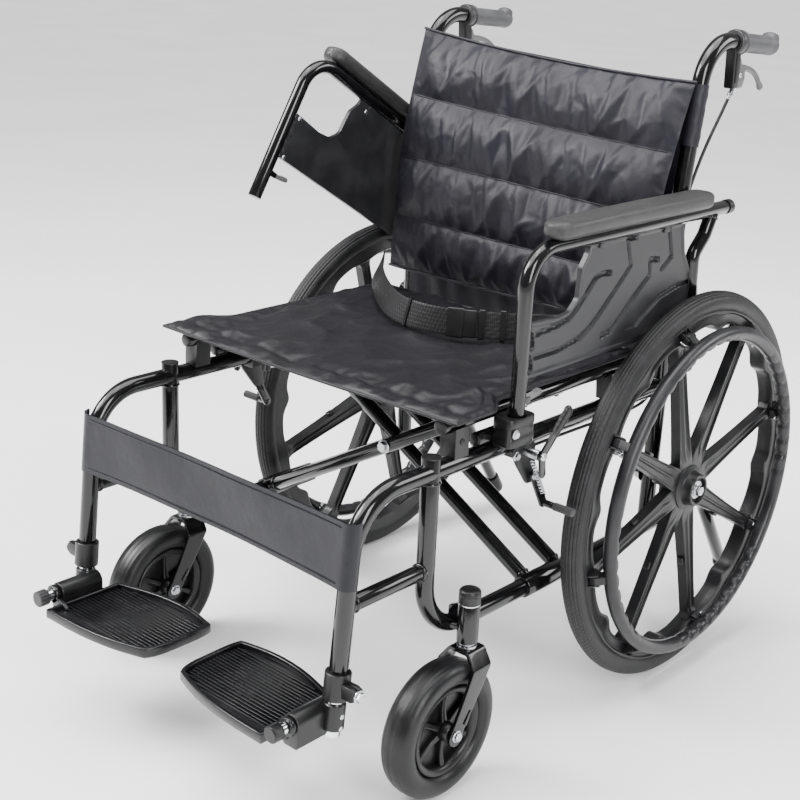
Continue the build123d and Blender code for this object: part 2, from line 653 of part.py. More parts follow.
latch_x = (ARM_X - LATCH_T / 2, ARM_X + LATCH_T / 2)
ear_x = (latch_x[0] - 3, latch_x[1] + 3)
latch_ears = joined(
    [
        block((ear_x[0], latch_x[0] - 0.5), (ARM_POST_Y, LATCH_Y + 4), (LATCH_Z - 4, LATCH_Z + 4)),
        block((latch_x[1] + 0.5, ear_x[1]), (ARM_POST_Y, LATCH_Y + 4), (LATCH_Z - 4, LATCH_Z + 4)),
        rod((ear_x[0] + 1, LATCH_Y, LATCH_Z), (ear_x[1] - 1, LATCH_Y, LATCH_Z), LATCH_PIN_R),
    ],
    [arm_solid],
)
latch = joined(
    [link((LATCH_Y, LATCH_Z), (LATCH_Y + LATCH_LENGTH, LATCH_Z + 4), 7, latch_x)],
    [
        rod((latch_x[0] - 5, LATCH_Y, LATCH_Z), (latch_x[1] + 5, LATCH_Y, LATCH_Z), LATCH_PIN_R + RUNNING),
    ],
)
arm_frame = joined([arm_frame, latch_ears])

ARM_PIVOT = Axis((0, ARM_PIVOT_Y, ARM_PIVOT_Z), (-1, 0, 0))
for name, piece in (
    ("armrest_frame", arm_frame),
    ("armrest_pad", pad),
    ("side_panel", panel),
    ("armrest_latch", latch),
):
    save_pair(name, piece, mirror(piece, about=Plane.YZ).rotate(ARM_PIVOT, ARM_RAISED))

# ---------------------------------------------------------------- footrest
slide_foot = (FRAME_X, leg_y(SLIDE_FOOT_Z), SLIDE_FOOT_Z)
slide_top = (FRAME_X, leg_y(SLIDE_TOP_Z), SLIDE_TOP_Z)
slide_solid = rod(slide_foot, slide_top, SLIDE_R)
hinge_pin = rod((PIN_X, HOUSING_FRONT_Y + 40, PIN_Z), (PIN_X, FOOT_FRONT_Y + 3, PIN_Z), PIN_R)
footrest_tube = joined([rod(slide_foot, slide_top, SLIDE_R, WALL), hinge_pin])

housing_back_y = leg_y(SLIDE_FOOT_Z) + 12
housing_z = HOUSING_BOTTOM_Z
with BuildPart() as housing:
    with BuildSketch(Plane.XZ.offset(-housing_back_y)):
        with Locations((PIN_X, PIN_Z)):
            Circle(HOUSING_R)
        with Locations((PIN_X, (PIN_Z + housing_z) / 2)):
            Rectangle(2 * HOUSING_R, PIN_Z - housing_z)
    extrude(amount=housing_back_y - HOUSING_FRONT_Y)
    add(slide_solid, mode=Mode.SUBTRACT)
    add(hinge_pin, mode=Mode.SUBTRACT)

plate_edge = [
    (PLATE_INNER_X + 2, FOOT_FRONT_Y + 144),
    (PLATE_INNER_X + 82, FOOT_FRONT_Y + 150),
    (PLATE_OUTER_X, FOOT_FRONT_Y + 126),
]
plate_front = [
    (PLATE_INNER_X + 2, FOOT_FRONT_Y + 33),
    (PLATE_INNER_X + 97, FOOT_FRONT_Y + 7),
    (PLATE_OUTER_X, FOOT_FRONT_Y + 1),
]


def foot_outline(inset):
    """The footplate's outline, bowed front and back, drawn in by an inset all round."""
    with BuildSketch(mode=Mode.PRIVATE) as outline:
        with BuildLine():
            back = ThreePointArc(*plate_edge)
            front = ThreePointArc(*plate_front)
            ThreePointArc(back @ 0, (PLATE_INNER_X, FOOT_FRONT_Y + 90), front @ 0)
            Line(back @ 1, front @ 1)
        make_face()
        if inset:
            offset(amount=-inset)
    return outline.sketch


with BuildPart() as footplate:
    with BuildSketch(Plane.XY.offset(PLATE_Z[0])):
        add(foot_outline(0))
    extrude(amount=PLATE_Z[1] - PLATE_Z[0] + PLATE_RIM_H)
    with BuildSketch(Plane.XY.offset(PLATE_Z[1])):
        add(foot_outline(6))
    extrude(amount=PLATE_RIM_H + 1, mode=Mode.SUBTRACT)
    with BuildSketch(Plane.XY.offset(PLATE_Z[1])):
        with Locations(((PLATE_INNER_X + PLATE_OUTER_X) / 2, FOOT_FRONT_Y + 78)):
            with GridLocations(0, PLATE_RIB_PITCH, 1, PLATE_RIBS):
                Rectangle(PLATE_OUTER_X - PLATE_INNER_X - 24, 2.6)
    extrude(amount=3)
    add(rod((PIN_X, BOSS_BACK_Y, PIN_Z), (PIN_X, FOOT_FRONT_Y, PIN_Z), HOUSING_R - 1))
    add(block((PLATE_OUTER_X - 12, PIN_X), (BOSS_BACK_Y, FOOT_FRONT_Y + 1), (PLATE_Z[0], PIN_Z - 6)))
    add(rod((PIN_X, 0, PIN_Z), (PIN_X, FOOT_FRONT_Y + 2.6, PIN_Z), PIN_R + RUNNING), mode=Mode.SUBTRACT)
save_pair("footrest_tube", footrest_tube)
save_pair("hinge_housing", housing.part)
save_pair("footplate", footplate.part)

# ---------------------------------------------------------------- wheel lock
lock_plate_outline = [
    (LOCK_PIVOT[0] - 27, LOCK_PIVOT[1] + 8),
    (LOCK_PIVOT[0] + 25, LOCK_PIVOT[1] + 8),
    (SHOE_PIVOT[0] + 11, SHOE_PIVOT[1] - 13),
    (SHOE_PIVOT[0] - 7, SHOE_PIVOT[1] - 13),
    (LOCK_PIVOT[0] - 13, LOCK_PIVOT[1] - 18),
]
clamp_y = (LOCK_PIVOT[0] - 19, LOCK_PIVOT[0] + 21)
lock_bracket = joined(
    [
        block((FRAME_X - TUBE_R - 2.5, FRAME_X + TUBE_R + 3), clamp_y, (TOP_Z - TUBE_R - 4.5, TOP_Z + 9)),
        plate(lock_plate_outline, LOCK_PLATE_X),
        rod((LOCK_PLATE_X[0], *LOCK_PIVOT), (LOCK_X[0] - GAP, *LOCK_PIVOT), LOCK_PIN_R + 3),
        rod((LOCK_PLATE_X[0], *LOCK_PIVOT), (LOCK_X[1] + 4, *LOCK_PIVOT), LOCK_PIN_R),
        rod((LOCK_PLATE_X[0], *SHOE_PIVOT), (SHOE_ARM_X[1] + 4, *SHOE_PIVOT), LOCK_PIN_R),
        block((CABLE_STOP_X - 5, CABLE_STOP_X + 5), (CABLE_STOP_Y - 10, CABLE_STOP_Y), (TOP_Z - 29, TOP_Z)),
    ],
    [upper_solid, guide_outline],
)
lock_lever = joined(
    [
        link(LOCK_PIVOT, LOCK_TIP, 15, LOCK_X),
        link(LOCK_PIVOT, (LOCK_PIVOT[0] + 4, LOCK_PIVOT[1] - 26), 13, LOCK_X),
    ],
    [rod((LOCK_X[0] - 5, *LOCK_PIVOT), (LOCK_X[1] + 5, *LOCK_PIVOT), LOCK_PIN_R + RUNNING)],
)
shoe = joined(
    [
        link(SHOE_PIVOT, SHOE_BAR, 15, SHOE_ARM_X),
        rod((SHOE_ARM_X[0], *SHOE_BAR), (SHOE_BAR_END_X, *SHOE_BAR), SHOE_BAR_R),
    ],
    [rod((SHOE_ARM_X[0] - 5, *SHOE_PIVOT), (SHOE_ARM_X[1] + 5, *SHOE_PIVOT), LOCK_PIN_R + RUNNING)],
)
save_pair("wheel_lock_bracket", lock_bracket)
save_pair("wheel_lock_lever", lock_lever)
save_pair("wheel_lock_shoe", shoe)

# ---------------------------------------------------------------- push handle and attendant brake
handle_corner = Vector(*cane_points[2])
handle_end = Vector(*cane_points[3])
handle_run = (handle_end - handle_corner).normalized()


def on_handle(back):
    """A point on the handle's centre line, measured back from its open end."""
    return tuple(handle_end - handle_run * back)


grip_plane = Plane(origin=on_handle(GRIP_LENGTH - 6), z_dir=handle_run)
with BuildPart() as grip:
    with BuildSketch(grip_plane):
        Circle(GRIP_R)
    extrude(amount=GRIP_LENGTH)
    with BuildSketch(grip_plane):
        Circle(GRIP_R + GRIP_FLANGE)
    extrude(amount=4)
    with BuildSketch(grip_plane.offset(-1)):
        Circle(TUBE_R)
    extrude(amount=GRIP_LENGTH - 6 + 1, mode=Mode.SUBTRACT)
save_pair("grip", grip.part)

perch_x = (FRAME_X - 9, FRAME_X + 9)
perch_hang = [
    (BRAKE_PIVOT[0] - 20, BRAKE_PIVOT[1] + 46),
    (BRAKE_PIVOT[0] + 4, BRAKE_PIVOT[1] + 44),
    (BRAKE_PIVOT[0] + 11, BRAKE_PIVOT[1] + 6),
    (BRAKE_PIVOT[0] + 8, BRAKE_PIVOT[1] - 16),
    (BRAKE_PIVOT[0] - 8, BRAKE_PIVOT[1] - 19),
    (BRAKE_PIVOT[0] - 16, BRAKE_PIVOT[1] + 6),
]
lever_slot = block(
    (FRAME_X - 4 - GAP, FRAME_X + 4 + GAP),
    (BRAKE_PIVOT[0] - 8, BRAKE_PIVOT[0] + 20),
    (BRAKE_PIVOT[1] - 12, BRAKE_PIVOT[1] + 11),
)
perch = joined(
    [
        joined(
            [
                rod(on_handle(GRIP_LENGTH + 10), on_handle(GRIP_LENGTH - 5), TUBE_R + 3.5),
                plate(perch_hang, perch_x),
            ],
            [cane_solid, grip.part, lever_slot],
        ),
        rod((perch_x[0], *BRAKE_PIVOT), (perch_x[1], *BRAKE_PIVOT), 3),
    ]
)
lever_points = [
    (FRAME_X, BRAKE_PIVOT[0], BRAKE_PIVOT[1]),
    (FRAME_X, BRAKE_PIVOT[0] + 34, BRAKE_PIVOT[1] + 2),
    (FRAME_X, BRAKE_PIVOT[0] + 66, BRAKE_PIVOT[1] - 8),
    (FRAME_X, BRAKE_PIVOT[0] + 84, BRAKE_PIVOT[1] - 28),
]
brake_lever = joined(
    [
        bent(lever_points, (60.0, 22.0), 4),
        rod((FRAME_X - 3.6, *BRAKE_PIVOT), (FRAME_X + 3.6, *BRAKE_PIVOT), 7),
    ],
    [rod((FRAME_X - 9, *BRAKE_PIVOT), (FRAME_X + 9, *BRAKE_PIVOT), 3 + RUNNING)],
)
save_pair("brake_perch", perch)
save_pair("brake_lever", brake_lever)

CABLE_BACK_Y = TUBE_R + CABLE_R + 1
CABLE_IN_X = FRAME_X - TUBE_R - CABLE_R - 2.5
cable_points = [
    (FRAME_X, 117, 891.5),
    (FRAME_X, 96, 862),
    (FRAME_X - 3, 54, 800),
    (FRAME_X - 6, CABLE_BACK_Y + 2, 715),
    (FRAME_X - 6, CABLE_BACK_Y, 580),
    (FRAME_X - 8, CABLE_BACK_Y + 1, 470),
    (CABLE_IN_X - 1, 2, 424),
    (CABLE_IN_X, -60, 418),
    (CABLE_IN_X + 1, -200, 424),
    (CABLE_STOP_X, CABLE_STOP_Y + GAP, 430),
]
cable_turns = []
for before, here, after in zip(cable_points, cable_points[1:], cable_points[2:]):
    run_in = Vector(*here) - Vector(*before)
    run_out = Vector(*after) - Vector(*here)
    half_turn = radians(run_in.get_angle(run_out)) / 2
    cable_turns.append(0.45 * min(run_in.length, run_out.length) / tan(half_turn))
print("cable radii", [round(r) for r in cable_turns])
save_pair("brake_cable", bent(cable_points, cable_turns, CABLE_R))

# ---------------------------------------------------------------- soft parts, as plain closed solids
back_profile = [
    (-71, BACK_Z[0]),
    (-14, BACK_Z[1]),
    (-TUBE_R - GAP + (BACK_Z[1] - CANE_BEND_Z) * CANE_LEAN, BACK_Z[1]),
    (-TUBE_R - GAP, CANE_BEND_Z),
    (-TUBE_R - GAP, BACK_Z[0]),
]
save("backrest", plate(back_profile, (-BACK_HALF_W, BACK_HALF_W)))

seat = joined(
    [
        block((-SEAT_HALF_W, SEAT_HALF_W), SEAT_Y, SEAT_Z),
        block((-SEAT_HALF_W - SEAT_EAR[0], SEAT_HALF_W + SEAT_EAR[0]), SEAT_EAR[1:], SEAT_Z),
    ]
)
save("seat", seat)

strap_out = (TUBE_R + GAP) * hypot(1, LEG_LEAN)
strap_profile = [
    (leg_y(STRAP_Z[0]) - strap_out - STRAP_T, STRAP_Z[0]),
    (leg_y(STRAP_Z[0]) - strap_out, STRAP_Z[0]),
    (leg_y(STRAP_Z[1]) - strap_out, STRAP_Z[1]),
    (leg_y(STRAP_Z[1]) - strap_out - STRAP_T, STRAP_Z[1]),
]
save("calf_strap", plate(strap_profile, (-FRAME_X - TUBE_R + 1.5, FRAME_X + TUBE_R - 1.5)))

belt_z = SEAT_Z[1] + GAP
belt = joined(
    [
        block((-RAIL_X + 18, RAIL_X - 16), BELT_Y, (belt_z, belt_z + BELT_T)),
        block(BUCKLE_X, (BELT_Y[0] - 4, BELT_Y[1] + 4), (belt_z, belt_z + BUCKLE_T), BELT_T),
    ]
)
save("lap_belt", belt)
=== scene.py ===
import bpy
import numpy as np
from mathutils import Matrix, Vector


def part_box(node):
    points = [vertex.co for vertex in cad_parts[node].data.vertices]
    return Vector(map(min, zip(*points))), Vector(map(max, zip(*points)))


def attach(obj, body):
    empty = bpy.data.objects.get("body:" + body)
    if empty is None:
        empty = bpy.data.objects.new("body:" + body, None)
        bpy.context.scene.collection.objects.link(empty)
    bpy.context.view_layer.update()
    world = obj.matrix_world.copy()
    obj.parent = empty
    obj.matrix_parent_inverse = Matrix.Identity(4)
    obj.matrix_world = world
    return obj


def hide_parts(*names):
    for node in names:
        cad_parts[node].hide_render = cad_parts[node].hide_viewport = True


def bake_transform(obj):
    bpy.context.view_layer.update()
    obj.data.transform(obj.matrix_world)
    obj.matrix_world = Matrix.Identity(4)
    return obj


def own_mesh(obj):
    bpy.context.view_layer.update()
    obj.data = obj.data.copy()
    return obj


# The looks of a folding wheelchair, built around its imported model. Shapes are worked out in millimetres
# about the rear axle, +Z up, for the chair's left side (+X). piece() moves them to the frame, in metres.

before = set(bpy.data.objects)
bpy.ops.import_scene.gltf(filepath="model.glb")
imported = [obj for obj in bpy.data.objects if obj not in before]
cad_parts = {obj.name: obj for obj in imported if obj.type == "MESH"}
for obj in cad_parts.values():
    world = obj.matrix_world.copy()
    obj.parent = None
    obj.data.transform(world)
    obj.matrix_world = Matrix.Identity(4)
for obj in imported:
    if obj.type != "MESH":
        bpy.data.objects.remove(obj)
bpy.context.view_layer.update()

# ---------------------------------------------------------------- sizes taken from the frame
MM = 0.001
tyre_low, tyre_high = (np.array(corner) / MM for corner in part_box("rear_tyre_left"))
AXLE_Y = (tyre_low[1] + tyre_high[1]) / 2
WHEEL_R = (tyre_high[2] - tyre_low[2]) / 2
AXLE_Z = WHEEL_R
WHEEL_X = (tyre_low[0] + tyre_high[0]) / 2

# ---------------------------------------------------------------- sizes of the chair
FRAME_X, TUBE_R, WALL = 256.0, 12.5, 1.6
TOP_Z, LOW_Z, POST_Y, POST_TOP_Z = 453.0, 219.0, -536.0, 474.0
HANGER_TOP_Y, HANGER_FOOT_Z, LEG_LEAN = -671.0, 199.0, 22.0 / 231.0
HANDLE_Z, HANDLE_END = 966.0, (224.0, 950.5)
CANE_BEND_Z, CANE_LEAN = 750.0, 30.0 / 216.0
LOWER_BEND_R, HANGER_BEND_R, CANE_BENDS_R = 80.0, 78.0, (200.0, 68.0)
LOWER_END_Y, GUIDE_Z, GUIDE_Y, GUIDE_R = 132.0, 476.0, (-450.0, -352.0), 9.5
TUBE_BORE, BARREL_Z, BARREL_TALL, BARREL_R = 12.7, 207.0, 55.0, 14.6
TIPPER_FOOT = (279.0, 60.0)
STRUT_Z, STRUT_R = 318.0, 11.0
RAIL_X, RAIL_Z, RAIL_R, RAIL_Y = 248.0, 505.0, 10.0, (-512.0, -78.0)
BRACE_R, BRACE_A_YS, BRACE_PITCH = 11.0, (-302.0, -229.0), 26.0
CROSS_Z = LOW_Z + (RAIL_Z - LOW_Z) * FRAME_X / (FRAME_X + RAIL_X)
SWIVEL_X, SWIVEL_Y, CASTER_R, CASTER_W = 288.0, -480.0, 97.0, 48.0
CASTER_Y, CASTER_RIM_R = SWIVEL_Y - 50.0, 62.0
ARM_X, ARM_R, ARM_POST_Y = 283.0, 10.5, -400.0
ARM_FOOT_Z, ARM_TOP_Z, ARM_BACK_Y = 479.0, 722.0, 95.0
ARM_PIVOT = (20.0, 490.0)
ARM_RAISED = 30.7
PAD_X, PAD_Y, PAD_Z = (269.5, 313.0), (-368.0, 15.0), (732.5, 759.5)
PIN_X, PIN_Z = 240.0, 178.0
FOOT_FRONT_Y, HOUSING_FRONT_Y = -790.0, -757.0
LOCK_PIVOT, LOCK_TIP = (-365.0, 444.0), (-307.0, 501.0)
SHOE_PIVOT, SHOE_BAR = (-345.0, 405.0), (-318.0, 357.0)
PLATE_X, LEVER_X = (269.0, 274.0), (301.6, 305.4)
PERCH_HALF_W = 8.4
HANDRIM_R, HANDRIM_X, HANDRIM_TUBE_R = 248.0, 352.0, 11.0
RIM_IN, RIM_OUT, RIM_W = 257.0, 281.0, 27.0
SPOKES, SPOKE_TURN = 8, np.radians(15.0)
BRAKE_PIVOT = (120.0, 912.0)
BACK_HALF_W = 262.0
ACROSS, REAR, UP = np.eye(3)
SIDES = (("left", 1.0), ("right", -1.0))


# ---------------------------------------------------------------- shader maths
class Value:
    """A socket of a finish. Arithmetic on it adds Math nodes."""

    def __init__(self, finish, socket):
        self.finish = finish
        self.socket = socket

    def maths(self, operation, *terms):
        return self.finish.node("ShaderNodeMath", {"operation": operation}, dict(enumerate(terms)))

    def __add__(self, other):
        return self.maths("ADD", self, other)

    __radd__ = __add__

    def __mul__(self, other):
        return self.maths("MULTIPLY", self, other)

    __rmul__ = __mul__

    def __sub__(self, other):
        return self.maths("SUBTRACT", self, other)

    def __rsub__(self, other):
        return self.maths("SUBTRACT", other, self)


class Finish:
    """A material, with one method that adds any node to it."""

    def __init__(self, name, **fixed):
        self.material = bpy.data.materials.new(name)
        self.material.use_nodes = True
        self.tree = self.material.node_tree
        self.shader = self.tree.nodes["Principled BSDF"]
        for socket, value in fixed.items():
            self.shader.inputs[socket.replace("_", " ")].default_value = value
        self.place = self.node("ShaderNodeTexCoord", {}, {}, 3)

    def node(self, kind, settings, sockets, output=0):
        made = self.tree.nodes.new(kind)
        for name, value in settings.items():
            if name == "stops":
                for stop, (position, shade) in zip(made.color_ramp.elements, value):
                    stop.position = position
                    stop.color = (shade, shade, shade, 1)
            else:
                setattr(made, name, value)
        for key, value in sockets.items():
            if isinstance(value, Value):
                self.tree.links.new(value.socket, made.inputs[key])
            else:
                made.inputs[key].default_value = value
        return Value(self, made.outputs[output])

    def noise(self, scale, detail=3.0, rough=0.5, stretch=(1, 1, 1)):
        """Cloudy noise, scale in features per metre."""
        at = self.node("ShaderNodeMapping", {}, {"Vector": self.place, "Scale": stretch})
        sockets = {"Vector": at, "Scale": scale, "Detail": detail, "Roughness": rough}
        return self.node("ShaderNodeTexNoise", {}, sockets)

    def step(self, value, low, high):
        """0 below low, 1 above high, smooth between."""
        sockets = {"Value": value, "From Min": low, "From Max": high}
        return self.node("ShaderNodeMapRange", {"interpolation_type": "SMOOTHSTEP"}, sockets)

    def colour(self, share, first, second):
        sockets = {0: share, 6: (*first, 1), 7: (*second, 1)}
        return self.node("ShaderNodeMix", {"data_type": "RGBA"}, sockets, 2)

    def bump(self, height, depth, strength=1.0, over=None):
        sockets = {"Height": height, "Distance": depth, "Strength": strength}
        if over is not None:
            sockets["Normal"] = over
        return self.node("ShaderNodeBump", {}, sockets)

    def feed(self, **values):
        for socket, value in values.items():
            self.tree.links.new(value.socket, self.shader.inputs[socket.replace("_", " ")])
        return self.material


def frame_paint():
    """Gloss black paint: a lacquer coat over black, faint flow in the coat and a little dust."""
    paint = Finish("frame_paint", Coat_Weight=0.4, Coat_Roughness=0.04, Specular_IOR_Level=0.25)
    dust = paint.step(paint.noise(70, 5), 0.45, 0.8)
    rough = 0.16 + 0.1 * dust
    shade = paint.colour(dust, (0.003, 0.003, 0.0034), (0.006, 0.006, 0.0065))
    flow = paint.bump(paint.noise(160, 2), 0.0002, 0.25)
    return paint.feed(Base_Color=shade, Roughness=rough, Normal=flow)


def moulded(name, dark, light, rough, grain=900.0, depth=0.00012):
    """Moulded plastic: fine spark-eroded grain, slightly uneven colour and sheen."""
    plastic = Finish(name, Specular_IOR_Level=0.36)
    patch = plastic.step(plastic.noise(25, 4), 0.35, 0.7)
    fleck = plastic.noise(grain, 2)
    shade = plastic.colour(patch, dark, light)
    sheen = rough + 0.1 * (patch - 0.5) + 0.08 * (fleck - 0.5)
    return plastic.feed(Base_Color=shade, Roughness=sheen, Normal=plastic.bump(fleck, depth, 0.6))


def rubber(name, dark, light, rough):
    """Rubber: dull, with dusty patches and a fine pitted skin."""
    skin = Finish(name, Specular_IOR_Level=0.32)
    patch = skin.step(skin.noise(40, 6, 0.6), 0.4, 0.75)
    pits = skin.noise(1400, 2)
    shade = skin.colour(patch, dark, light)
    sheen = rough + 0.12 * patch
    return skin.feed(Base_Color=shade, Roughness=sheen, Normal=skin.bump(pits, 0.00015, 0.5))


def metal(name, dark, light, rough, brushed):
    """Plated metal: fine drawn lines and light handling marks."""
    plating = Finish(name, Metallic=1.0)
    lines = plating.noise(300, 3, 0.6, stretch=brushed)
    marks = plating.step(plating.noise(45, 5), 0.5, 0.8)
    shade = plating.colour(marks, dark, light)
    sheen = rough + 0.12 * marks + 0.06 * lines
    return plating.feed(Base_Color=shade, Roughness=sheen, Normal=plating.bump(lines, 0.00006, 0.5))


def pad_skin():
    """Moulded armrest skin: cells of a leather grain over soft sheen."""
    skin = Finish("pad_skin", Specular_IOR_Level=0.5)
    warp = skin.node(
        "ShaderNodeMix", {"data_type": "VECTOR"}, {0: 0.06, 4: skin.place, 5: skin.noise(30, 2)}, 1
    )
    cells = skin.node(
        "ShaderNodeTexVoronoi", {"feature": "DISTANCE_TO_EDGE"}, {"Vector": warp, "Scale": 420.0}
    )
    grain = skin.step(cells, 0.0, 0.18)
    worn = skin.step(skin.noise(18, 4), 0.4, 0.7)
    shade = skin.colour(grain * 0.7 + worn * 0.3, (0.01, 0.01, 0.01), (0.026, 0.026, 0.026))
    return skin.feed(Base_Color=shade, Roughness=0.38 - 0.08 * worn + 0.1 * (1 - grain),
                     Normal=skin.bump(grain, 0.0003, 0.8))


def woven(name, dark, light, rough, pitch, depth=0.0002, sheen=0.0, second="Z", rumple=0.0025):
    """Woven cloth: warp and weft waves crossed, tone shifting where the cloth has been handled."""
    cloth = Finish(name, Sheen_Weight=sheen, Sheen_Roughness=0.4, Specular_IOR_Level=0.3)
    scale = 1 / pitch / 6.283
    threads = [
        cloth.node(
            "ShaderNodeTexWave", {"bands_direction": way},
            {"Vector": cloth.place, "Scale": scale, "Distortion": 0.3, "Detail": 1.0}, 1
        )
        for way in ("X", second)
    ]
    weave = threads[0] * (1 - threads[1]) + threads[1] * (1 - threads[0])
    worn = cloth.step(cloth.noise(14, 5, 0.6), 0.35, 0.75)
    shade = cloth.colour(worn * 0.6 + weave * 0.4, dark, light)
    creases = cloth.noise(30, 6, 0.6)
    fine = cloth.bump(weave, depth, 0.5, cloth.bump(creases, rumple, 0.4))
    return cloth.feed(Base_Color=shade, Roughness=rough - 0.1 * worn + 0.06 * weave, Normal=fine)


PAINT = frame_paint()
BLACK = moulded("black_plastic", (0.004, 0.004, 0.0044), (0.008, 0.008, 0.0085), 0.36)
GREY = moulded("knob_plastic", (0.022, 0.022, 0.023), (0.034, 0.034, 0.036), 0.42)
WHEEL = moulded("wheel_plastic", (0.006, 0.006, 0.0066), (0.012, 0.012, 0.0132), 0.38, 700)
HANDRIM = moulded("handrim_plastic", (0.01, 0.01, 0.011), (0.019, 0.019, 0.021), 0.35, 800)
PANEL = moulded("panel_plastic", (0.013, 0.013, 0.0145), (0.022, 0.022, 0.0245), 0.4, 1100)
LIGHT = moulded("light_plastic", (0.09, 0.09, 0.09), (0.125, 0.125, 0.125), 0.4)
FOOT = moulded("footplate_plastic", (0.003, 0.003, 0.0036), (0.007, 0.007, 0.008), 0.25, 900, 0.00006)
TYRE = rubber("tyre_rubber", (0.006, 0.006, 0.0066), (0.016, 0.016, 0.0174), 0.46)
CASTER = rubber("caster_rubber", (0.0035, 0.0035, 0.004), (0.007, 0.007, 0.008), 0.36)
GRIP = rubber("grip_rubber", (0.05, 0.05, 0.054), (0.078, 0.078, 0.084), 0.46)
SHEATH = rubber("cable_sheath", (0.005, 0.005, 0.005), (0.009, 0.009, 0.009), 0.35)
STEEL = metal("bright_steel", (0.5, 0.51, 0.53), (0.38, 0.38, 0.39), 0.22, (1, 1, 6))
CHROME = metal("chrome", (0.78, 0.79, 0.81), (0.66, 0.67, 0.69), 0.07, (8, 8, 1))
SKIN = pad_skin()
NYLON = woven("upholstery", (0.0034, 0.0032, 0.0062), (0.011, 0.0098, 0.017), 0.5, 0.0011, sheen=0.03)
SEAT_NYLON = woven(
    "seat_upholstery", (0.003, 0.0028, 0.004), (
        0.009, 0.0082, 0.0108
    ), 0.46, 0.0011, second="Y", rumple=0.006
)
VINYL = woven(
    "strap_vinyl", (0.003, 0.003, 0.0056), (0.006, 0.006, 0.0105), 0.3, 0.0014, depth=0.0001, sheen=0.0
)
WEBBING = woven(
    "webbing", (0.004, 0.004, 0.0045), (0.016, 0.016, 0.0172), 0.5, 0.0022, depth=0.0007, second="Y"
)


# ---------------------------------------------------------------- surfaces
def unit(vector):
    return vector / np.linalg.norm(vector, axis=-1, keepdims=True)


def smooth(value, low, high):
    """0 below low, 1 above high, and an S between."""
    share = np.clip((value - low) / (high - low), 0, 1)
    return share * share * (3 - 2 * share)


def lattice(rows, columns, wrap_rows, wrap_columns):
    """Quads between the neighbours of a grid; a wrapped direction joins its last line to its first."""
    row = np.arange(rows if wrap_rows else rows - 1)[:, None]
    column = np.arange(columns if wrap_columns else columns - 1)[None]
    over, along = (row + 1) % rows, (column + 1) % columns
    corners = (
        row * columns + column, row * columns + along, over * columns + along, over * columns + column
    )
    return np.stack(corners, -1).reshape(-1, 4)


class Shape:
    """Points and faces of a closed surface. Shapes add up to one shape."""

    def __init__(self, points, faces, closed=True):
        self.points = np.asarray(points, float).reshape(-1, 3)
        self.faces = [np.asarray(group, int) for group in faces]
        if closed and self.volume() < 0:
            self.faces = [group[:, ::-1] for group in self.faces]

    def volume(self):
        """Six times the volume inside, negative where the faces look inwards."""
        total = 0.0
        for group in self.faces:
            fans = group[:, 1:-1].ravel(), group[:, 2:].ravel()
            first = np.repeat(group[:, 0], group.shape[1] - 2)
            cross = np.cross(self.points[fans[0]], self.points[fans[1]])
            total += np.einsum("ij,ij->", self.points[first], cross)
        return total

    def __add__(self, other):
        shift = len(self.points)
        faces = self.faces + [group + shift for group in other.faces]
        return Shape(np.vstack([self.points, other.points]), faces, False)

    def moved(self, x=0.0, y=0.0, z=0.0):
        return Shape(self.points + (x, y, z), self.faces, False)

    def turned_about_axle(self, angle):
        """The shape turned in the wheel's plane, about the rear axle."""
        y, z = self.points[:, 1], self.points[:, 2] - AXLE_Z
        c, s = np.cos(angle), np.sin(angle)
        points = np.stack([self.points[:, 0], y * c - z * s, y * s + z * c + AXLE_Z], -1)
        return Shape(points, self.faces, False)


def together(shapes):
    shapes = list(shapes)
    return sum(shapes[1:], shapes[0])


def skin(rows, ring=False):
    """A closed surface over rows of points, each row a closed outline. Quads join neighbouring rows; flat
    faces close the two ends, or the last row joins the first."""
    count, columns = rows.shape[:2]
    faces = [lattice(count, columns, ring, True)]
    if not ring:
        ends = np.arange(columns)
        faces += [ends[None, ::-1], ends[None] + (count - 1) * columns]
    return Shape(rows, faces)


def full_turn(count):
    """Angles evenly round a circle."""
    return np.linspace(0, 2 * np.pi, count, endpoint=False)


def circle(count, radius=1.0):
    angle = full_turn(count)
    return radius * np.stack([np.cos(angle), np.sin(angle)], -1)


def rounded(points, radii):
    """Straight runs joined by arcs, as points along the way."""
    points = np.asarray(points, float)
    way = [points[:1]]
    radii = np.broadcast_to(radii, len(points) - 2)
    for before, here, after, radius in zip(points, points[1:], points[2:], radii):
        back, on = unit(before - here), unit(after - here)
        half = np.arccos(np.clip(back @ on, -1, 1)) / 2
        turn = np.pi - 2 * half
        middle = here + unit(back + on) * radius / np.sin(half)
        out = unit(here + back * radius / np.tan(half) - middle)
        angle = np.linspace(0, turn, max(3, int(np.degrees(turn) / 4) + 2))[:, None]
        way.append(middle + radius * (np.cos(angle) * out - np.sin(angle) * back))
    return np.vstack([*way, points[-1:]])


def spline(points, count):
    """A smooth line near points: a clamped quadratic B-spline, sampled evenly in its parameter."""
    points = np.asarray(points, float)
    middles = (points[:-1] + points[1:]) / 2
    starts = np.vstack([points[:1], middles[1:-1]])
    ends = np.vstack([middles[1:-1], points[-1:]])
    spot = np.linspace(0, len(starts) - 1e-9, count)
    span = spot.astype(int)
    t = (spot - span)[:, None]
    return (1 - t) ** 2 * starts[span] + 2 * t * (1 - t) * points[span + 1] + t**2 * ends[span]


def carried(path, section, side=ACROSS):
    """A section carried along a path: its first axis keeps to side, its second is square to side and the
    path."""
    run = unit(np.gradient(path, axis=0))
    side = np.broadcast_to(side, path.shape)
    side = unit(side - np.einsum("ij,ij->i", side, run)[:, None] * run)
    up = np.cross(run, side)
    section = np.broadcast_to(section, (len(path), *section.shape[-2:]))
    return path[:, None] + section[..., :1] * side[:, None] + section[..., 1:] * up[:, None]


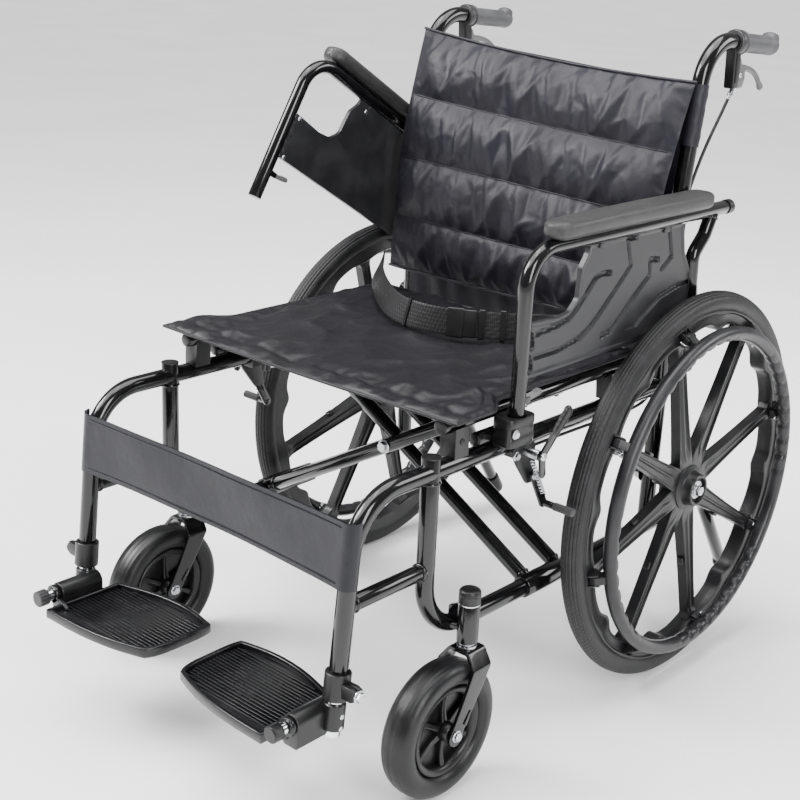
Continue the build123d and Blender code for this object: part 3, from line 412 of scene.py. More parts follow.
def bar(path, radius, side=ACROSS, count=32, edge=1.2):
    """A round bar along a path, its ends softened by an edge radius."""
    path = np.asarray(path, float)
    first, last = unit(path[1] - path[0]), unit(path[-1] - path[-2])
    ease = np.array([0.0, 0.3, 1.0])[:, None] * edge
    path = np.vstack([path[0] + first * ease, path[1:-1], path[-1] - last * ease[::-1]])
    radii = np.full(len(path), float(radius))
    radii[[0, -1]] -= edge
    radii[[1, -2]] -= 0.3 * edge
    return skin(carried(path, radii[:, None, None] * circle(count), side))


def lathe(profile, centre, axis=ACROSS, count=64, ring=False, ripple=None):
    """A profile of (along, radius) points turned about an axis through a centre. ripple(angle) scales the
    radius."""
    profile = np.asarray(profile, float)
    axis = np.asarray(axis, float)
    first = unit(np.cross(axis, (0.31, 0.17, 0.93)))
    second = np.cross(axis, first)
    spin = circle(count)
    if ripple is not None:
        spin = spin * ripple(full_turn(count))[:, None]
    around = spin[:, :1] * first + spin[:, 1:] * second
    rows = profile[:, None, :1] * axis + profile[:, None, 1:] * around[None]
    return skin(np.asarray(centre, float) + rows, ring)


def collar(start, end, bore, radius, bevel=0.0, inset=None):
    """The profile of a short tube. Its ends are bevelled: bevel along it and inset across it."""
    if not bevel:
        return [(start, bore), (start, radius), (end, radius), (end, bore)]
    rim = radius - (bevel if inset is None else inset)
    flat = [(start + bevel, radius), (end - bevel, radius)]
    return [(start, bore), (start, rim), *flat, (end, rim), (end, bore)]


def closed_outline(points, radius, count=6):
    """A closed flat outline with its corners rounded."""
    points = np.asarray(points, float)
    radii = np.broadcast_to(radius, len(points))
    way = []
    for before, here, after, r in zip(np.roll(points, 1, 0), points, np.roll(points, -1, 0), radii):
        back, on = unit(before - here), unit(after - here)
        half = np.arccos(np.clip(back @ on, -0.9999, 0.9999)) / 2
        middle = here + unit(back + on) * r / np.sin(half)
        out = unit(here + back * r / np.tan(half) - middle)
        angle = np.linspace(0, np.pi - 2 * half, count)[:, None]
        way.append(middle + r * (np.cos(angle) * out - np.sin(angle) * back))
    return np.vstack(way)


def inward(outline):
    """Unit normals into a closed flat outline, at its points."""
    run = unit(unit(np.roll(outline, -1, 0) - outline) + unit(outline - np.roll(outline, 1, 0)))
    square = np.stack([run[:, 1], -run[:, 0]], -1)
    ahead = np.roll(outline, -1, 0)
    return -square * np.sign(np.sum(outline[:, 0] * ahead[:, 1] - outline[:, 1] * ahead[:, 0]))


def prism(outline, low, high, axis=0, edge=0.8):
    """A flat outline given thickness between two places on an axis, its edges rounded: near each face the
    outline draws in along its normals as a quarter circle."""
    turn = np.array([0.0, 30.0, 60.0, 90.0]) * np.pi / 180
    inset = edge * (1 - np.sin(turn))
    depth = edge * (1 - np.cos(turn))
    insets = np.concatenate([inset, inset[::-1]])
    places = np.concatenate([low + depth, high - depth[::-1]])
    flat = outline[None] + insets[:, None, None] * inward(outline)[None]
    rows = np.insert(flat, axis, np.broadcast_to(places[:, None], flat.shape[:2]), axis=2)
    return skin(rows)


def slot_outline(start, end, width, count=16):
    """A bar's outline with round ends about two points."""
    start, end = np.asarray(start, float), np.asarray(end, float)
    run = unit(end - start)
    square = np.array([-run[1], run[0]])
    angle = np.linspace(-np.pi / 2, np.pi / 2, count)[:, None]
    nose = np.cos(angle) * run + np.sin(angle) * square
    return np.vstack([end + nose * width / 2, start - nose * width / 2])


def distance_to(line, points):
    """How far each point is from a line of straight runs, and the nearest place on it."""
    start, run = line[:-1], np.diff(line, axis=0)
    offset = points[:, None] - start
    share = np.clip(np.sum(offset * run, -1) / np.sum(run * run, -1), 0, 1)
    nearest = start + share[..., None] * run
    far = np.linalg.norm(points[:, None] - nearest, axis=-1)
    best = np.argmin(far, 1)
    rows = np.arange(len(points))
    return far[rows, best], nearest[rows, best]


def stamped(outline, pitch):
    """A flat sheet cut to an outline: the cells of a square grid whose middles lie inside, with the points
    on their cut edge drawn onto the outline. Gives the points and the quads."""
    low, high = outline.min(0), outline.max(0)
    counts = np.ceil((high - low) / pitch).astype(int) + 1
    axes = [low[i] + pitch * np.arange(counts[i]) for i in (0, 1)]
    grid = np.stack(np.meshgrid(*axes, indexing="ij"), -1).reshape(-1, 2)
    quads = lattice(*counts, False, False)
    middle = grid[quads].mean(1)
    ahead = np.roll(outline, -1, 0)
    over = (outline[None, :, 1] > middle[:, None, 1]) != (ahead[None, :, 1] > middle[:, None, 1])
    rise = np.where(np.abs(ahead[:, 1] - outline[:, 1]) < 1e-9, 1e-9, ahead[:, 1] - outline[:, 1])
    cross = outline[:, 0] + (middle[:, None, 1] - outline[:, 1]) * (ahead[:, 0] - outline[:, 0]) / rise
    inside = np.sum(over & (middle[:, None, 0] < cross), 1) % 2 == 1
    quads = quads[inside]
    used, packed = np.unique(quads, return_inverse=True)
    quads = packed.reshape(-1, 4)
    points = grid[used]
    edge = np.bincount(quads.ravel(), minlength=len(points)) < 4
    points[edge] = distance_to(np.vstack([outline, outline[:1]]), points[edge])[1]
    return points, quads


def walled(front, back, quads):
    """A closed shell between a front and a back sheet that share their quads, joined round the edge."""
    edges = np.stack([quads, np.roll(quads, -1, 1)], -1).reshape(-1, 2)
    count = len(front)
    keys = edges[:, 0] * count + edges[:, 1]
    rim = edges[~np.isin(keys, edges[:, 1] * count + edges[:, 0])]
    wall = np.stack([rim[:, 1], rim[:, 0], rim[:, 0] + count, rim[:, 1] + count], -1)
    return Shape(np.vstack([front, back]), [quads, quads[:, ::-1] + count, wall])


# ---------------------------------------------------------------- pieces
def raised(points):
    """Points of an armrest turned up about its pivot by the angle that the right one stands at."""
    angle = np.radians(ARM_RAISED)
    y, z = points[:, 1] - ARM_PIVOT[0], points[:, 2] - ARM_PIVOT[1]
    c, s = np.cos(angle), np.sin(angle)
    return np.stack([points[:, 0], y * c + z * s + ARM_PIVOT[0], z * c - y * s + ARM_PIVOT[1]], -1)


def mesh_of(name, points, faces, material, sharp=38.0):
    """A mesh object with its place in its mesh, in metres in the frame, smooth but for edges over an
    angle."""
    mesh = bpy.data.meshes.new(name)
    placed = (points + (0, AXLE_Y, 0)) * MM
    sizes = np.concatenate([np.full(len(group), group.shape[1]) for group in faces])
    corners = np.concatenate([group.ravel() for group in faces])
    mesh.vertices.add(len(placed))
    mesh.vertices.foreach_set("co", placed.astype(np.float32).ravel())
    mesh.loops.add(len(corners))
    mesh.loops.foreach_set("vertex_index", corners.astype(np.int32))
    mesh.polygons.add(len(sizes))
    mesh.polygons.foreach_set("loop_start", np.concatenate([[0], np.cumsum(sizes)[:-1]]).astype(np.int32))
    mesh.polygons.foreach_set("use_smooth", np.ones(len(sizes), bool))
    mesh.update(calc_edges=True)
    mesh.validate()
    mesh.set_sharp_from_angle(angle=np.radians(sharp))
    mesh.materials.append(material)
    made = bpy.data.objects.new(name, mesh)
    bpy.context.scene.collection.objects.link(made)
    return made


def piece(name, shape, body, material, nodes=(), side=1.0, sharp=38.0):
    """One piece of the chair. side -1 mirrors it to the right, and a right armrest's pieces stand raised."""
    points = shape.points * (side, 1, 1)
    faces = shape.faces if side > 0 else [group[:, ::-1] for group in shape.faces]
    if side < 0 and body.startswith("armrest"):
        points = raised(points)
    made = mesh_of(name, points, faces, material, sharp)
    if body:
        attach(made, body)
    if nodes:
        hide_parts(*nodes)
    return made


def pair(name, shape, body, material, node=None, sharp=38.0):
    """A piece and its mirror image. body is a body's name without its side, or frame."""
    for side, sign in SIDES:
        rides = f"{side}_frame" if body == "frame" else f"{body}_{side}"
        nodes = (f"{node}_{side}",) if node else ()
        piece(f"{name}_{side}", shape, rides, material, nodes, sign, sharp)


def stand_in(node, shape, body, material, sharp=38.0):
    """A pair shown in place of a CAD node and its mirror image."""
    pair(f"{node}_finish", shape, body, material, node, sharp)


def bolt(centre, axis, across, height, washer=1.25):
    """A hexagon head on a washer."""
    axis = np.asarray(axis, float)
    radius = across / np.sqrt(3)
    head = [(1.2, radius * 0.97), (height - 1, radius), (height, radius * 0.85), (height, radius * 0.2)]
    disc = [(0, radius * washer), (1.0, radius * washer), (1.3, radius * washer - 0.4), (1.3, 0.5)]
    return lathe(head, centre, axis, 6) + lathe(disc, centre, axis, 32)


def screw(centre, axis, radius, height):
    """A round domed head."""
    turn = np.linspace(0, 85, 7) * np.pi / 180
    dome = np.stack([height * np.sin(turn), radius * np.cos(turn)], -1)
    return lathe(np.vstack([(0, radius), dome]), centre, axis, 24)


def weld(centre, axis, radius, bead=2.4):
    """A rippled bead round a joint."""
    angle = full_turn(12)
    profile = np.stack([bead * np.cos(angle), radius + bead * np.sin(angle)], -1)
    return lathe(profile, centre, axis, 72, True, lambda turn: 1 + 0.012 * np.cos(36 * turn))


# ---------------------------------------------------------------- side frame
def leg_y(z):
    """Where the middle of the hanger's leg stands at a height."""
    return HANGER_TOP_Y - (TOP_Z - z) * LEG_LEAN


def in_plane(points, x=FRAME_X):
    """(y, z) points in a plane across the chair."""
    return [(x, y, z) for y, z in points]


def side_frame():
    """The three bent tubes of a side frame, and the weld beads where they meet."""
    lower = [(POST_Y, POST_TOP_Z), (POST_Y, LOW_Z), (LOWER_END_Y, LOW_Z)]
    lower = rounded(in_plane(lower), LOWER_BEND_R)
    upper = [(1 - TUBE_R, TOP_Z), (HANGER_TOP_Y, TOP_Z), (leg_y(HANGER_FOOT_Z), HANGER_FOOT_Z)]
    upper = rounded(in_plane(upper), HANGER_BEND_R)
    rise = (HANDLE_Z - CANE_BEND_Z) * CANE_LEAN
    cane = [(0, LOW_Z + TUBE_R - 1), (0, CANE_BEND_Z), (rise, HANDLE_Z), HANDLE_END]
    cane = rounded(in_plane(cane), CANE_BENDS_R)
    stand_in("lower_tube", bar(lower, TUBE_R), "frame", PAINT)
    stand_in("upper_tube", bar(upper, TUBE_R), "frame", PAINT)
    stand_in("cane", bar(cane, TUBE_R), "frame", PAINT)
    beads = together(
        [
            weld((FRAME_X, -TUBE_R - 1.5, TOP_Z), REAR, TUBE_R - 0.5),
            weld((FRAME_X, 0, LOW_Z + TUBE_R + 0.5), UP, TUBE_R - 0.5),
            weld((FRAME_X, leg_y(STRUT_Z) + TUBE_R + 0.3, STRUT_Z), REAR, STRUT_R - 0.5),
            weld((FRAME_X, POST_Y - TUBE_R - 0.3, STRUT_Z), REAR, STRUT_R - 0.5),
            weld((FRAME_X, POST_Y, TOP_Z - TUBE_R - 0.5), UP, TUBE_R - 0.5),
        ]
    )
    pair("weld_beads", beads, "frame", PAINT)


def fittings():
    """What is welded or clamped to a side frame."""
    strut = bar([(FRAME_X, leg_y(STRUT_Z), STRUT_Z), (FRAME_X, POST_Y, STRUT_Z)], STRUT_R)
    guide = bar([(FRAME_X, y, GUIDE_Z) for y in GUIDE_Y], GUIDE_R, edge=2.5)
    barrel = [
        (0, 7), (0, BARREL_R - 1), (1, BARREL_R), (BARREL_TALL - 1, BARREL_R), (
            BARREL_TALL, BARREL_R - 0.6
        ),
        (BARREL_TALL, 7),
    ]
    barrel = lathe(barrel, (SWIVEL_X, SWIVEL_Y, BARREL_Z), UP)
    gusset = prism(
        closed_outline([(256, 223), (280, 223), (280, 262), (256, 250)], 3), SWIVEL_Y - 4, SWIVEL_Y + 4, 1
    )
    shelf = prism(closed_outline([(256, -496), (284, -490), (284, -470), (256, -464)], 3), 224, 230, 2)
    tipper_path = rounded(in_plane([(60, LOW_Z), (172, LOW_Z), TIPPER_FOOT]), 55)
    tipper = bar(tipper_path, TUBE_R - WALL)
    parts = together([strut, guide, barrel, gusset, shelf, tipper])
    stand_in("frame_fittings", parts, "frame", PAINT)

    foot, top = HANGER_FOOT_Z - 2, HANGER_FOOT_Z + 34
    run = unit(np.array([0, leg_y(top) - leg_y(foot), top - foot]))
    length = (top - foot) / run[2]
    clamp = lathe(collar(0, length, 12.6, 17, 1, 0.8), (FRAME_X, leg_y(foot), foot), run)
    lug_y = leg_y(HANGER_FOOT_Z + 14)
    lug = [
        (FRAME_X + 8, 204), (FRAME_X + 30, 204), (FRAME_X + 37, 208), (FRAME_X + 37, 220),
        (FRAME_X + 30, 223), (FRAME_X + 8, 223),
    ]
    jaw = closed_outline(lug, 3)
    lugs = prism(jaw, lug_y - 8, lug_y - 1, 1, 1) + prism(jaw, lug_y + 1, lug_y + 8, 1, 1)
    pair("hanger_collar", clamp + lugs, "frame", BLACK)
    pair("hanger_bolt", bolt((FRAME_X + 36.5, lug_y, 213), ACROSS, 12, 7), "frame", STEEL)

    cap = [
        (0, 14.2), (1.2, 14.9), (11, 14.9), (11.6, 14.4), (12.2, 14.9), (16, 14.8), (18, 13.6), (19.4, 11),
        (19.4, 1),
    ]
    pair("caster_cap", lathe(cap, (SWIVEL_X, SWIVEL_Y, 264.5), UP), "frame", BLACK)
    ring = lathe(collar(0, 1.6, 10, 15), (SWIVEL_X, SWIVEL_Y, 262.6), UP)
    pair("barrel_ring", ring, "frame", STEEL)
    nut = bolt((FRAME_X + TUBE_R + 2, SWIVEL_Y + 8, 240), REAR, 8, 5)
    pair("barrel_bolt", nut, "frame", STEEL)

    foot_run = unit(tipper_path[-1] - tipper_path[-2])
    tip = [(-14, 11.2), (-14, 12.8), (-12, 13.4), (14, 13.4), (20, 13), (24, 11.5), (26, 8.5), (26, 2)]
    pair("tipper_tip", lathe(tip, tipper_path[-1], foot_run), "frame", BLACK)
    button = screw((FRAME_X + 10.6, 150, LOW_Z - 0.5), ACROSS, 3.6, 2.2)
    pair("tipper_button", button, "frame", STEEL)

    saddles = []
    for y in (-486.0, -136.0):
        turn = np.linspace(200, 340, 15) * np.pi / 180
        cup = np.stack([RAIL_X + 10.4 * np.cos(turn), RAIL_Z + 10.4 * np.sin(turn)], -1)
        base = [(FRAME_X + 8, 503), (FRAME_X + 8.5, 462), (FRAME_X - 16, 462), (RAIL_X - 11.5, 503)]
        saddles.append(prism(np.vstack([cup, base]), y - 14, y + 14, 1, 0.8))
        saddles.append(screw((FRAME_X + 8.4, y, 484), ACROSS, 4.5, 2.5))
    pair("rail_cradles", together(saddles), "frame", BLACK)

    ends = bar(
        [(FRAME_X, POST_Y, POST_TOP_Z - 1), (FRAME_X, POST_Y, POST_TOP_Z + 0.8)], TUBE_R + 0.6, edge=0.8
    )
    plug = screw((FRAME_X, GUIDE_Y[0] - 0.5, GUIDE_Z), -REAR, 8.2, 2)
    tube_end = [(FRAME_X, LOWER_END_Y - 3, LOW_Z), (FRAME_X, LOWER_END_Y + 1.4, LOW_Z)]
    tube_end = bar(tube_end, TUBE_R + 0.7, edge=1)
    pair("end_plugs", ends + plug + tube_end, "frame", BLACK)

    y, z = ARM_PIVOT
    arm = closed_outline([(2, z - 13), (y + 4, z - 12), (y + 11, z), (y + 4, z + 12), (2, z + 13)], 4)
    bracket = prism(arm, FRAME_X + 8, ARM_X - ARM_R - 2.5, 0, 1)
    boss = bar([(FRAME_X + 10, y, z), (ARM_X - ARM_R - 0.4, y, z)], 9, REAR)
    pair("arm_bracket", bracket + boss, "frame", PAINT)
    pin = bar([(ARM_X - 14, y, z), (ARM_X + 10, y, z)], 4, REAR)
    pair("arm_pivot_pin", pin + bolt((ARM_X + 9.4, y, z), ACROSS, 9, 4), "frame", STEEL)


def socket():
    """The plastic clamp that the armrest's post drops into: a ribbed block about a bore, on the guide
    tube."""
    x, y, z = ARM_X, ARM_POST_Y, 466.0
    height = 39.0
    turn = full_turn(64)
    c, s = np.cos(turn), np.sin(turn)
    square = (np.abs(c) ** 5 + np.abs(s) ** 5) ** (-1 / 5)

    def level(height, half_x, half_y, shift=0.0):
        return np.stack([x + shift + half_x * c, y + half_y * s, z + height + 0 * c], -1)

    levels = [(0, 0.95), (1.5, 1), (12, 1), (13, 0.97), (26, 0.97), (27, 1), (37.5, 1), (39, 0.96)]
    outer = [level(h, 17.4 * square * share, 27.8 * square * share, -3.5) for h, share in levels]
    bore = [level(height, 13.5, 13.5), level(height - 1.2, 12, 12), level(10.4, 12, 12), level(10, 3, 3)]
    body = skin(np.array([*outer, *bore]))
    clamp_bolt = bolt((x + 13.6, y - 18, z + 20), ACROSS, 9, 4)
    stand_in("armrest_socket", body, "frame", BLACK)
    pair("socket_bolt", clamp_bolt, "frame", STEEL)


# ---------------------------------------------------------------- rear wheel
def about_wheel(angle, radius, x):
    """Points on the wheel by angle, radius and how far out they are."""
    return np.stack(np.broadcast_arrays(x, radius * np.cos(angle), AXLE_Z + radius * np.sin(angle)), -1)


def rim():
    """A ring whose section is a rounded box with a hollow in its face. Between spokes its inner edge swells
    in a lobe, and beside each spoke it draws in as a fillet."""
    angle = full_turn(720)
    phase = (angle - SPOKE_TURN) / (2 * np.pi / SPOKES) % 1.0
    from_spoke = np.minimum(phase, 1 - phase)
    lobe = np.exp(-(((phase - 0.5) / 0.085) ** 2)) + 0.55 * np.exp(-((from_spoke / 0.13) ** 2))
    inner = RIM_IN - 10.5 * lobe
    half = RIM_W / 2
    section = [
        (-half + 2, 0.0), (-half, 0.08), (-half, 0.5), (-half, 0.92), (-half + 2, 1.0), (half - 3, 1.0),
        (half - 1, 0.95), (half, 0.84), (half, 0.72), (half - 2.4, 0.64), (half - 3, 0.5), (half - 3, 0.3),
        (half - 2, 0.16), (half, 0.1), (half - 0.6, 0.03), (half - 2, 0.0), (0, 0.0),
    ]
    x, share = np.array(section).T
    radius = inner[:, None] + (RIM_OUT - inner[:, None]) * share[None]
    return skin(about_wheel(angle[:, None], radius, WHEEL_X + x[None]), ring=True)


def spoke():
    """One spoke lying along +Y: wide at the hub, narrow at the waist, wider at the rim. Each face has two
    raised edges and a low rib between two channels, which fade out at both ends."""
    root, tip = 20.0, RIM_IN - 2
    along = np.linspace(root, tip, 72)
    share = (along - root) / (tip - root)
    half = 19.5 - 21 * share + 11.5 * share**1.9 + 6 * smooth(along, RIM_IN - 16, RIM_IN)
    across = np.linspace(-1, 1, 27)
    channel = smooth(1 - np.abs(across), 0.1, 0.26) - 0.62 * smooth(0.2 - np.abs(across), 0, 0.12)
    ends = smooth(along, 42, 70) * smooth(RIM_IN - 8 - along, 0, 22)
    crown = 9.6 - 1.6 * np.abs(across) ** 6
    height = crown[None] - 4.4 * channel[None] * ends[:, None]
    front = np.stack([height, half[:, None] * across[None]], -1)
    back = np.stack([-height, half[:, None] * across[None]], -1)[:, ::-1]
    section = np.concatenate([front, back], 1)
    reach = np.broadcast_to(along[:, None], section.shape[:2])
    rows = np.stack([WHEEL_X + section[..., 0], reach, AXLE_Z + section[..., 1]], -1)
    web = skin(rows)
    nub = prism(
        closed_outline([(128, -17), (142, -17), (139, -8), (131, -8)], 2), WHEEL_X - 4, WHEEL_X + 5, 0, 1
    )
    return web + nub.moved(z=AXLE_Z)


def wheel_hub():
    """The hub's steps: inner boss, flange over the spoke roots, outer cup about the axle nut."""
    profile = [
        (-23, 7), (-23, 30), (-22, 32), (-16, 34), (-12, 34), (-10, 36), (9, 36), (11, 35), (12.5, 32),
        (14, 28), (16, 26.4), (25, 25), (28, 24.6), (29.2, 23.4), (29.4, 21.6), (28.6, 19.8), (23, 18.6), (
            22, 17
        ),
        (22, 13), (21.4, 12), (21.4, 7),
    ]
    return lathe(profile, (WHEEL_X, 0, AXLE_Z), ACROSS, 96)


def tyre():
    """A round section with ribs and blocks: grooves run round it, and cross cuts break the ribs between
    them, each rib's cuts half a pitch from its neighbour's."""
    blocks, steps, section_r = 226, 4, 17.4
    angle = full_turn(blocks * steps)
    turn = np.concatenate([np.linspace(-150, -66, 12), np.linspace(-62, 62, 74), np.linspace(66, 150, 12)])
    turn = turn * np.pi / 180
    place = np.abs(np.degrees(turn))
    groove = sum(np.exp(-(((place - at) / 3.4) ** 2)) for at in (9, 27, 45))
    wall_line = np.exp(-(((place - 78) / 3.0) ** 2))
    beat = (np.arange(len(angle)) % steps)[:, None]
    stagger = ((np.degrees(turn) + 200) // 18).astype(int) % 2 * (steps // 2)
    cut = ((beat + stagger[None]) % steps < 1) & (place[None] < 62)
    radius = section_r - 1.0 * groove[None] - 0.7 * cut - 0.5 * wall_line[None]
    x = radius * np.sin(turn)[None]
    out = (WHEEL_R - section_r - 0.1) + radius * np.cos(turn)[None]
    base = np.maximum(out, RIM_OUT - 6)
    rows = about_wheel(angle[:, None], base, WHEEL_X + x)
    return skin(rows, ring=True)


def handrim():
    """A round tube whose inner side has rows of finger notches that come and go round the wheel."""
    angle = full_turn(900)
    turn = full_turn(28)
    zone = smooth(np.cos(4 * (angle - SPOKE_TURN) - 0.5), -0.75, 0.0)
    wave = 0.5 + 0.5 * np.cos(56 * angle)
    inner_side = np.clip(-np.cos(turn), 0, 1) ** 0.7
    radius = HANDRIM_TUBE_R - 3.4 * (zone * wave**2.2)[:, None] * inner_side[None]
    ledge = 0.5 * np.exp(-(((turn - 1.9) / 0.12) ** 2))
    radius = radius - ledge[None]
    out = HANDRIM_R + radius * np.cos(turn)[None]
    return skin(about_wheel(angle[:, None], out, HANDRIM_X + radius * np.sin(turn)[None]), ring=True)


def handrim_clip():
    """A stand-off at a spoke's end, along +Y: a cranked arm from the rim to the handrim with a cheek each
    side."""
    arm = [
        (WHEEL_X + 8, 246), (WHEEL_X + 13, 270), (HANDRIM_X - 14, 268), (HANDRIM_X + 2, 255),
        (HANDRIM_X + 1, 241), (HANDRIM_X - 8, 240), (HANDRIM_X - 16, 250),
    ]
    body = prism(closed_outline(arm, 3), -6.5, 6.5, 2, 1.2)
    cheek = closed_outline(
        [(WHEEL_X + 10, 250), (WHEEL_X + 12, 275), (HANDRIM_X - 10, 264), (HANDRIM_X - 14, 252)], 2.5
    )
    cheeks = prism(cheek, -10, -7.5, 2, 0.8) + prism(cheek, 7.5, 10, 2, 0.8)
    return (body + cheeks).moved(z=AXLE_Z)


def rear_wheels():
    """Wheel, tyre, handrim and what holds them together, and the axle."""
    turns = SPOKE_TURN + np.arange(SPOKES) * 2 * np.pi / SPOKES
    one = spoke()
    body = together([rim(), wheel_hub(), *(one.turned_about_axle(turn) for turn in turns)])
    stand_in("rear_wheel", body, "rear_wheel", WHEEL, 30)
    stand_in("rear_tyre", tyre(), "rear_wheel", TYRE, 60)
    stand_in("handrim", handrim(), "rear_wheel", HANDRIM, 60)
    clip = handrim_clip()
    clips = together([clip.turned_about_axle(turn) for turn in turns])
    pair("handrim_clips", clips, "rear_wheel", WHEEL)
    hook = rounded([(WHEEL_X + 15, 262, AXLE_Z + 16), (WHEEL_X + 22, 258, AXLE_Z + 15),
                    (WHEEL_X + 27, 252, AXLE_Z + 8), (WHEEL_X + 24, 247, AXLE_Z - 6)], 4)
    wire = bar(hook, 1.3, count=10, edge=0.4)
    springs = together([wire.turned_about_axle(turn) for turn in turns])
    pair("clip_springs", springs, "rear_wheel", STEEL)
    screws = [
        screw((WHEEL_X + 26, 240, AXLE_Z), ACROSS, 3.4, 2).turned_about_axle(turn) for turn in turns
    ]
    pair("clip_screws", together(screws), "rear_wheel", STEEL)
    valve = bar([(WHEEL_X + 3, 0, 0), (WHEEL_X + 3, 0, 30)], 3.2, ACROSS, 16)
    valve = valve.moved(z=AXLE_Z + RIM_IN - 22).turned_about_axle(np.radians(-20))
    pair("tyre_valve", valve, "rear_wheel", BLACK)
    for side, _ in SIDES:
        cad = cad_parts[f"wheel_bearings_{side}"]
        cad.data.materials.clear()
        cad.data.materials.append(STEEL)

    inner_nut = bolt((FRAME_X - TUBE_R + 0.4, 0, AXLE_Z), -ACROSS, 19, 11)
    spacer = lathe(collar(12, 35.5, 7, 11), (FRAME_X, 0, AXLE_Z))
    outer = lathe([(24, 3), (24, 10.5), (27, 10.5), (27.6, 9.8), (27.6, 3)], (WHEEL_X, 0, AXLE_Z))
    hexagon = lathe([(27, 8.6), (31, 8.8), (33.4, 7.4), (33.4, 1)], (WHEEL_X, 0, AXLE_Z), ACROSS, 6)
    shaft = bar([(FRAME_X + 20, 0, AXLE_Z), (WHEEL_X + 28, 0, AXLE_Z)], 6.3, REAR)
    axle = together([inner_nut, spacer, outer, hexagon, shaft])
    stand_in("rear_axle", axle, "frame", STEEL)


# ---------------------------------------------------------------- casters
def casters():
    """A fork bent from one strip, a solid tyre and a six-spoke hub."""
    gap = CASTER_W / 2 + 2.5
    crown_z, foot_z = 197.0, CASTER_R - 15
    strip = [
        (SWIVEL_X - gap - 2.5, foot_z), (SWIVEL_X - gap - 2.5, crown_z - 18), (SWIVEL_X - 15, crown_z + 1),
        (SWIVEL_X + 15, crown_z + 1), (SWIVEL_X + gap + 2.5, crown_z - 18), (SWIVEL_X + gap + 2.5, foot_z),
    ]
    path = rounded([(x, 0, z) for x, z in strip], 5)
    path = np.vstack([path[:1] + UP * np.linspace(0, 70, 15)[:, None], path[1:-1],
                      path[-1:] + UP * np.linspace(70, 0, 15)[:, None]])
    height = path[:, 2]
    drop = np.clip((crown_z - 12 - height) / (crown_z - 12 - CASTER_R), 0, 1.2)
    middle = SWIVEL_Y + (CASTER_Y - SWIVEL_Y) * np.minimum(drop, 1.0) ** 1.1
    half = 18 - 4.4 * smooth(drop, 0, 1)
    round_end = np.clip((height - (foot_z - 0.1)) / 13, 0, 1)
    half = half * np.sqrt(1 - (1 - round_end) ** 2 * 0.94)
    outline = closed_outline([(-1, -1), (1, -1), (1, 1), (-1, 1)], 0.16, 4)
    section = outline[None] * np.stack([half, np.full(len(half), 2.5)], -1)[:, None]
    run = unit(np.gradient(path, axis=0))
    normal = np.stack([-run[:, 2], 0 * run[:, 0], run[:, 0]], -1)
    spine = path + np.stack([0 * middle, middle, 0 * middle], -1)
    rows = spine[:, None] + section[..., :1] * np.array([0, 1.0, 0]) + section[..., 1:] * normal[:, None]
    fork = skin(rows)
    stem = [(4, 1), (4, 14), (7, 14), (8, 12), (9.6, 12), (9.6, 6), (78, 6), (79, 5)]
    stem = lathe(stem, (SWIVEL_X, SWIVEL_Y, crown_z), UP)
    for sign in (-1, 1):
        x = SWIVEL_X + sign * (gap + 4.6)
        boss = np.array([(34, 40), (13, 13), (18, 8)]) + (CASTER_Y, CASTER_R)
        fork = fork + prism(closed_outline(boss, 1.5), *sorted((x, x + sign * 2.2)), 0, 0.9)
    stand_in("caster_fork", fork, "caster_fork", PAINT)
    pair("caster_stem_ring", stem, "caster_fork", STEEL)
    nut_x = gap + 4.9
    nuts = [bolt((SWIVEL_X + s * nut_x, CASTER_Y, CASTER_R), (s, 0, 0), 11.5, 5.6) for s in (-1, 1)]
    pair("caster_axle_nuts", together(nuts), "caster_fork", STEEL)

    centre = (SWIVEL_X, CASTER_Y, CASTER_R)
    turn = np.linspace(-164, 164, 61) * np.pi / 180
    place = np.abs(np.degrees(turn))
    groove = sum(np.exp(-(((place - at) / 2.2) ** 2)) for at in (0, 14, 28))
    seam = np.exp(-(((place - 112) / 3) ** 2))
    half_w, tall = CASTER_W / 2, (CASTER_R - CASTER_RIM_R) / 2
    s, c = np.sin(turn), np.cos(turn)
    power = 2 / 2.35
    x = half_w * np.sign(s) * np.abs(s) ** power * (1 - 0.03 * seam)
    radius = CASTER_RIM_R + tall + tall * np.sign(c) * np.abs(c) ** power - 0.9 * groove
    stand_in(
        "caster_tyre", lathe(np.stack([x, radius], -1), centre, ACROSS, 180, True), "caster_wheel", CASTER,
        60,
    )

    ring = [
        (-17, 63.5), (-18, 62), (-17, 57), (-14, 54), (-8, 52.5), (8, 52.5), (14, 54), (17, 57), (18, 62),
        (17, 63.5),
    ]
    hub = [(-23.5, 4.2), (-23.5, 11), (-22, 12.5), (-12, 14), (12, 14), (22, 12.5), (23.5, 11), (23.5, 4.2)]
    parts = [lathe(ring, centre, ACROSS, 128, True), lathe(hub, centre, ACROSS, 48)]
    parts.append(lathe(collar(-2, 2, 10, 55), centre, ACROSS, 96, True))
    along = np.linspace(11, 54.5, 12)
    width = 5.2 - 1.4 * np.sin(np.pi * (along - 11) / 43.5)
    depth = 12 - 3.0 * np.sin(np.pi * (along - 11) / 43.5)
    soft = closed_outline([(-1, -1), (1, -1), (1, 1), (-1, 1)], 0.35, 4)
    flat = soft[None] * np.stack([depth, width], -1)[:, None]
    for k in range(6):
        a = np.radians(30 + 60 * k)
        out, square = np.array([0, np.cos(a), np.sin(a)]), np.array([0, -np.sin(a), np.cos(a)])
        rows = np.array(centre) + along[:, None, None] * out + flat[..., :1] * ACROSS + flat[
            ..., 1:
        ] * square
        parts.append(skin(rows))
    stand_in("caster_hub", together(parts), "caster_wheel", BLACK)


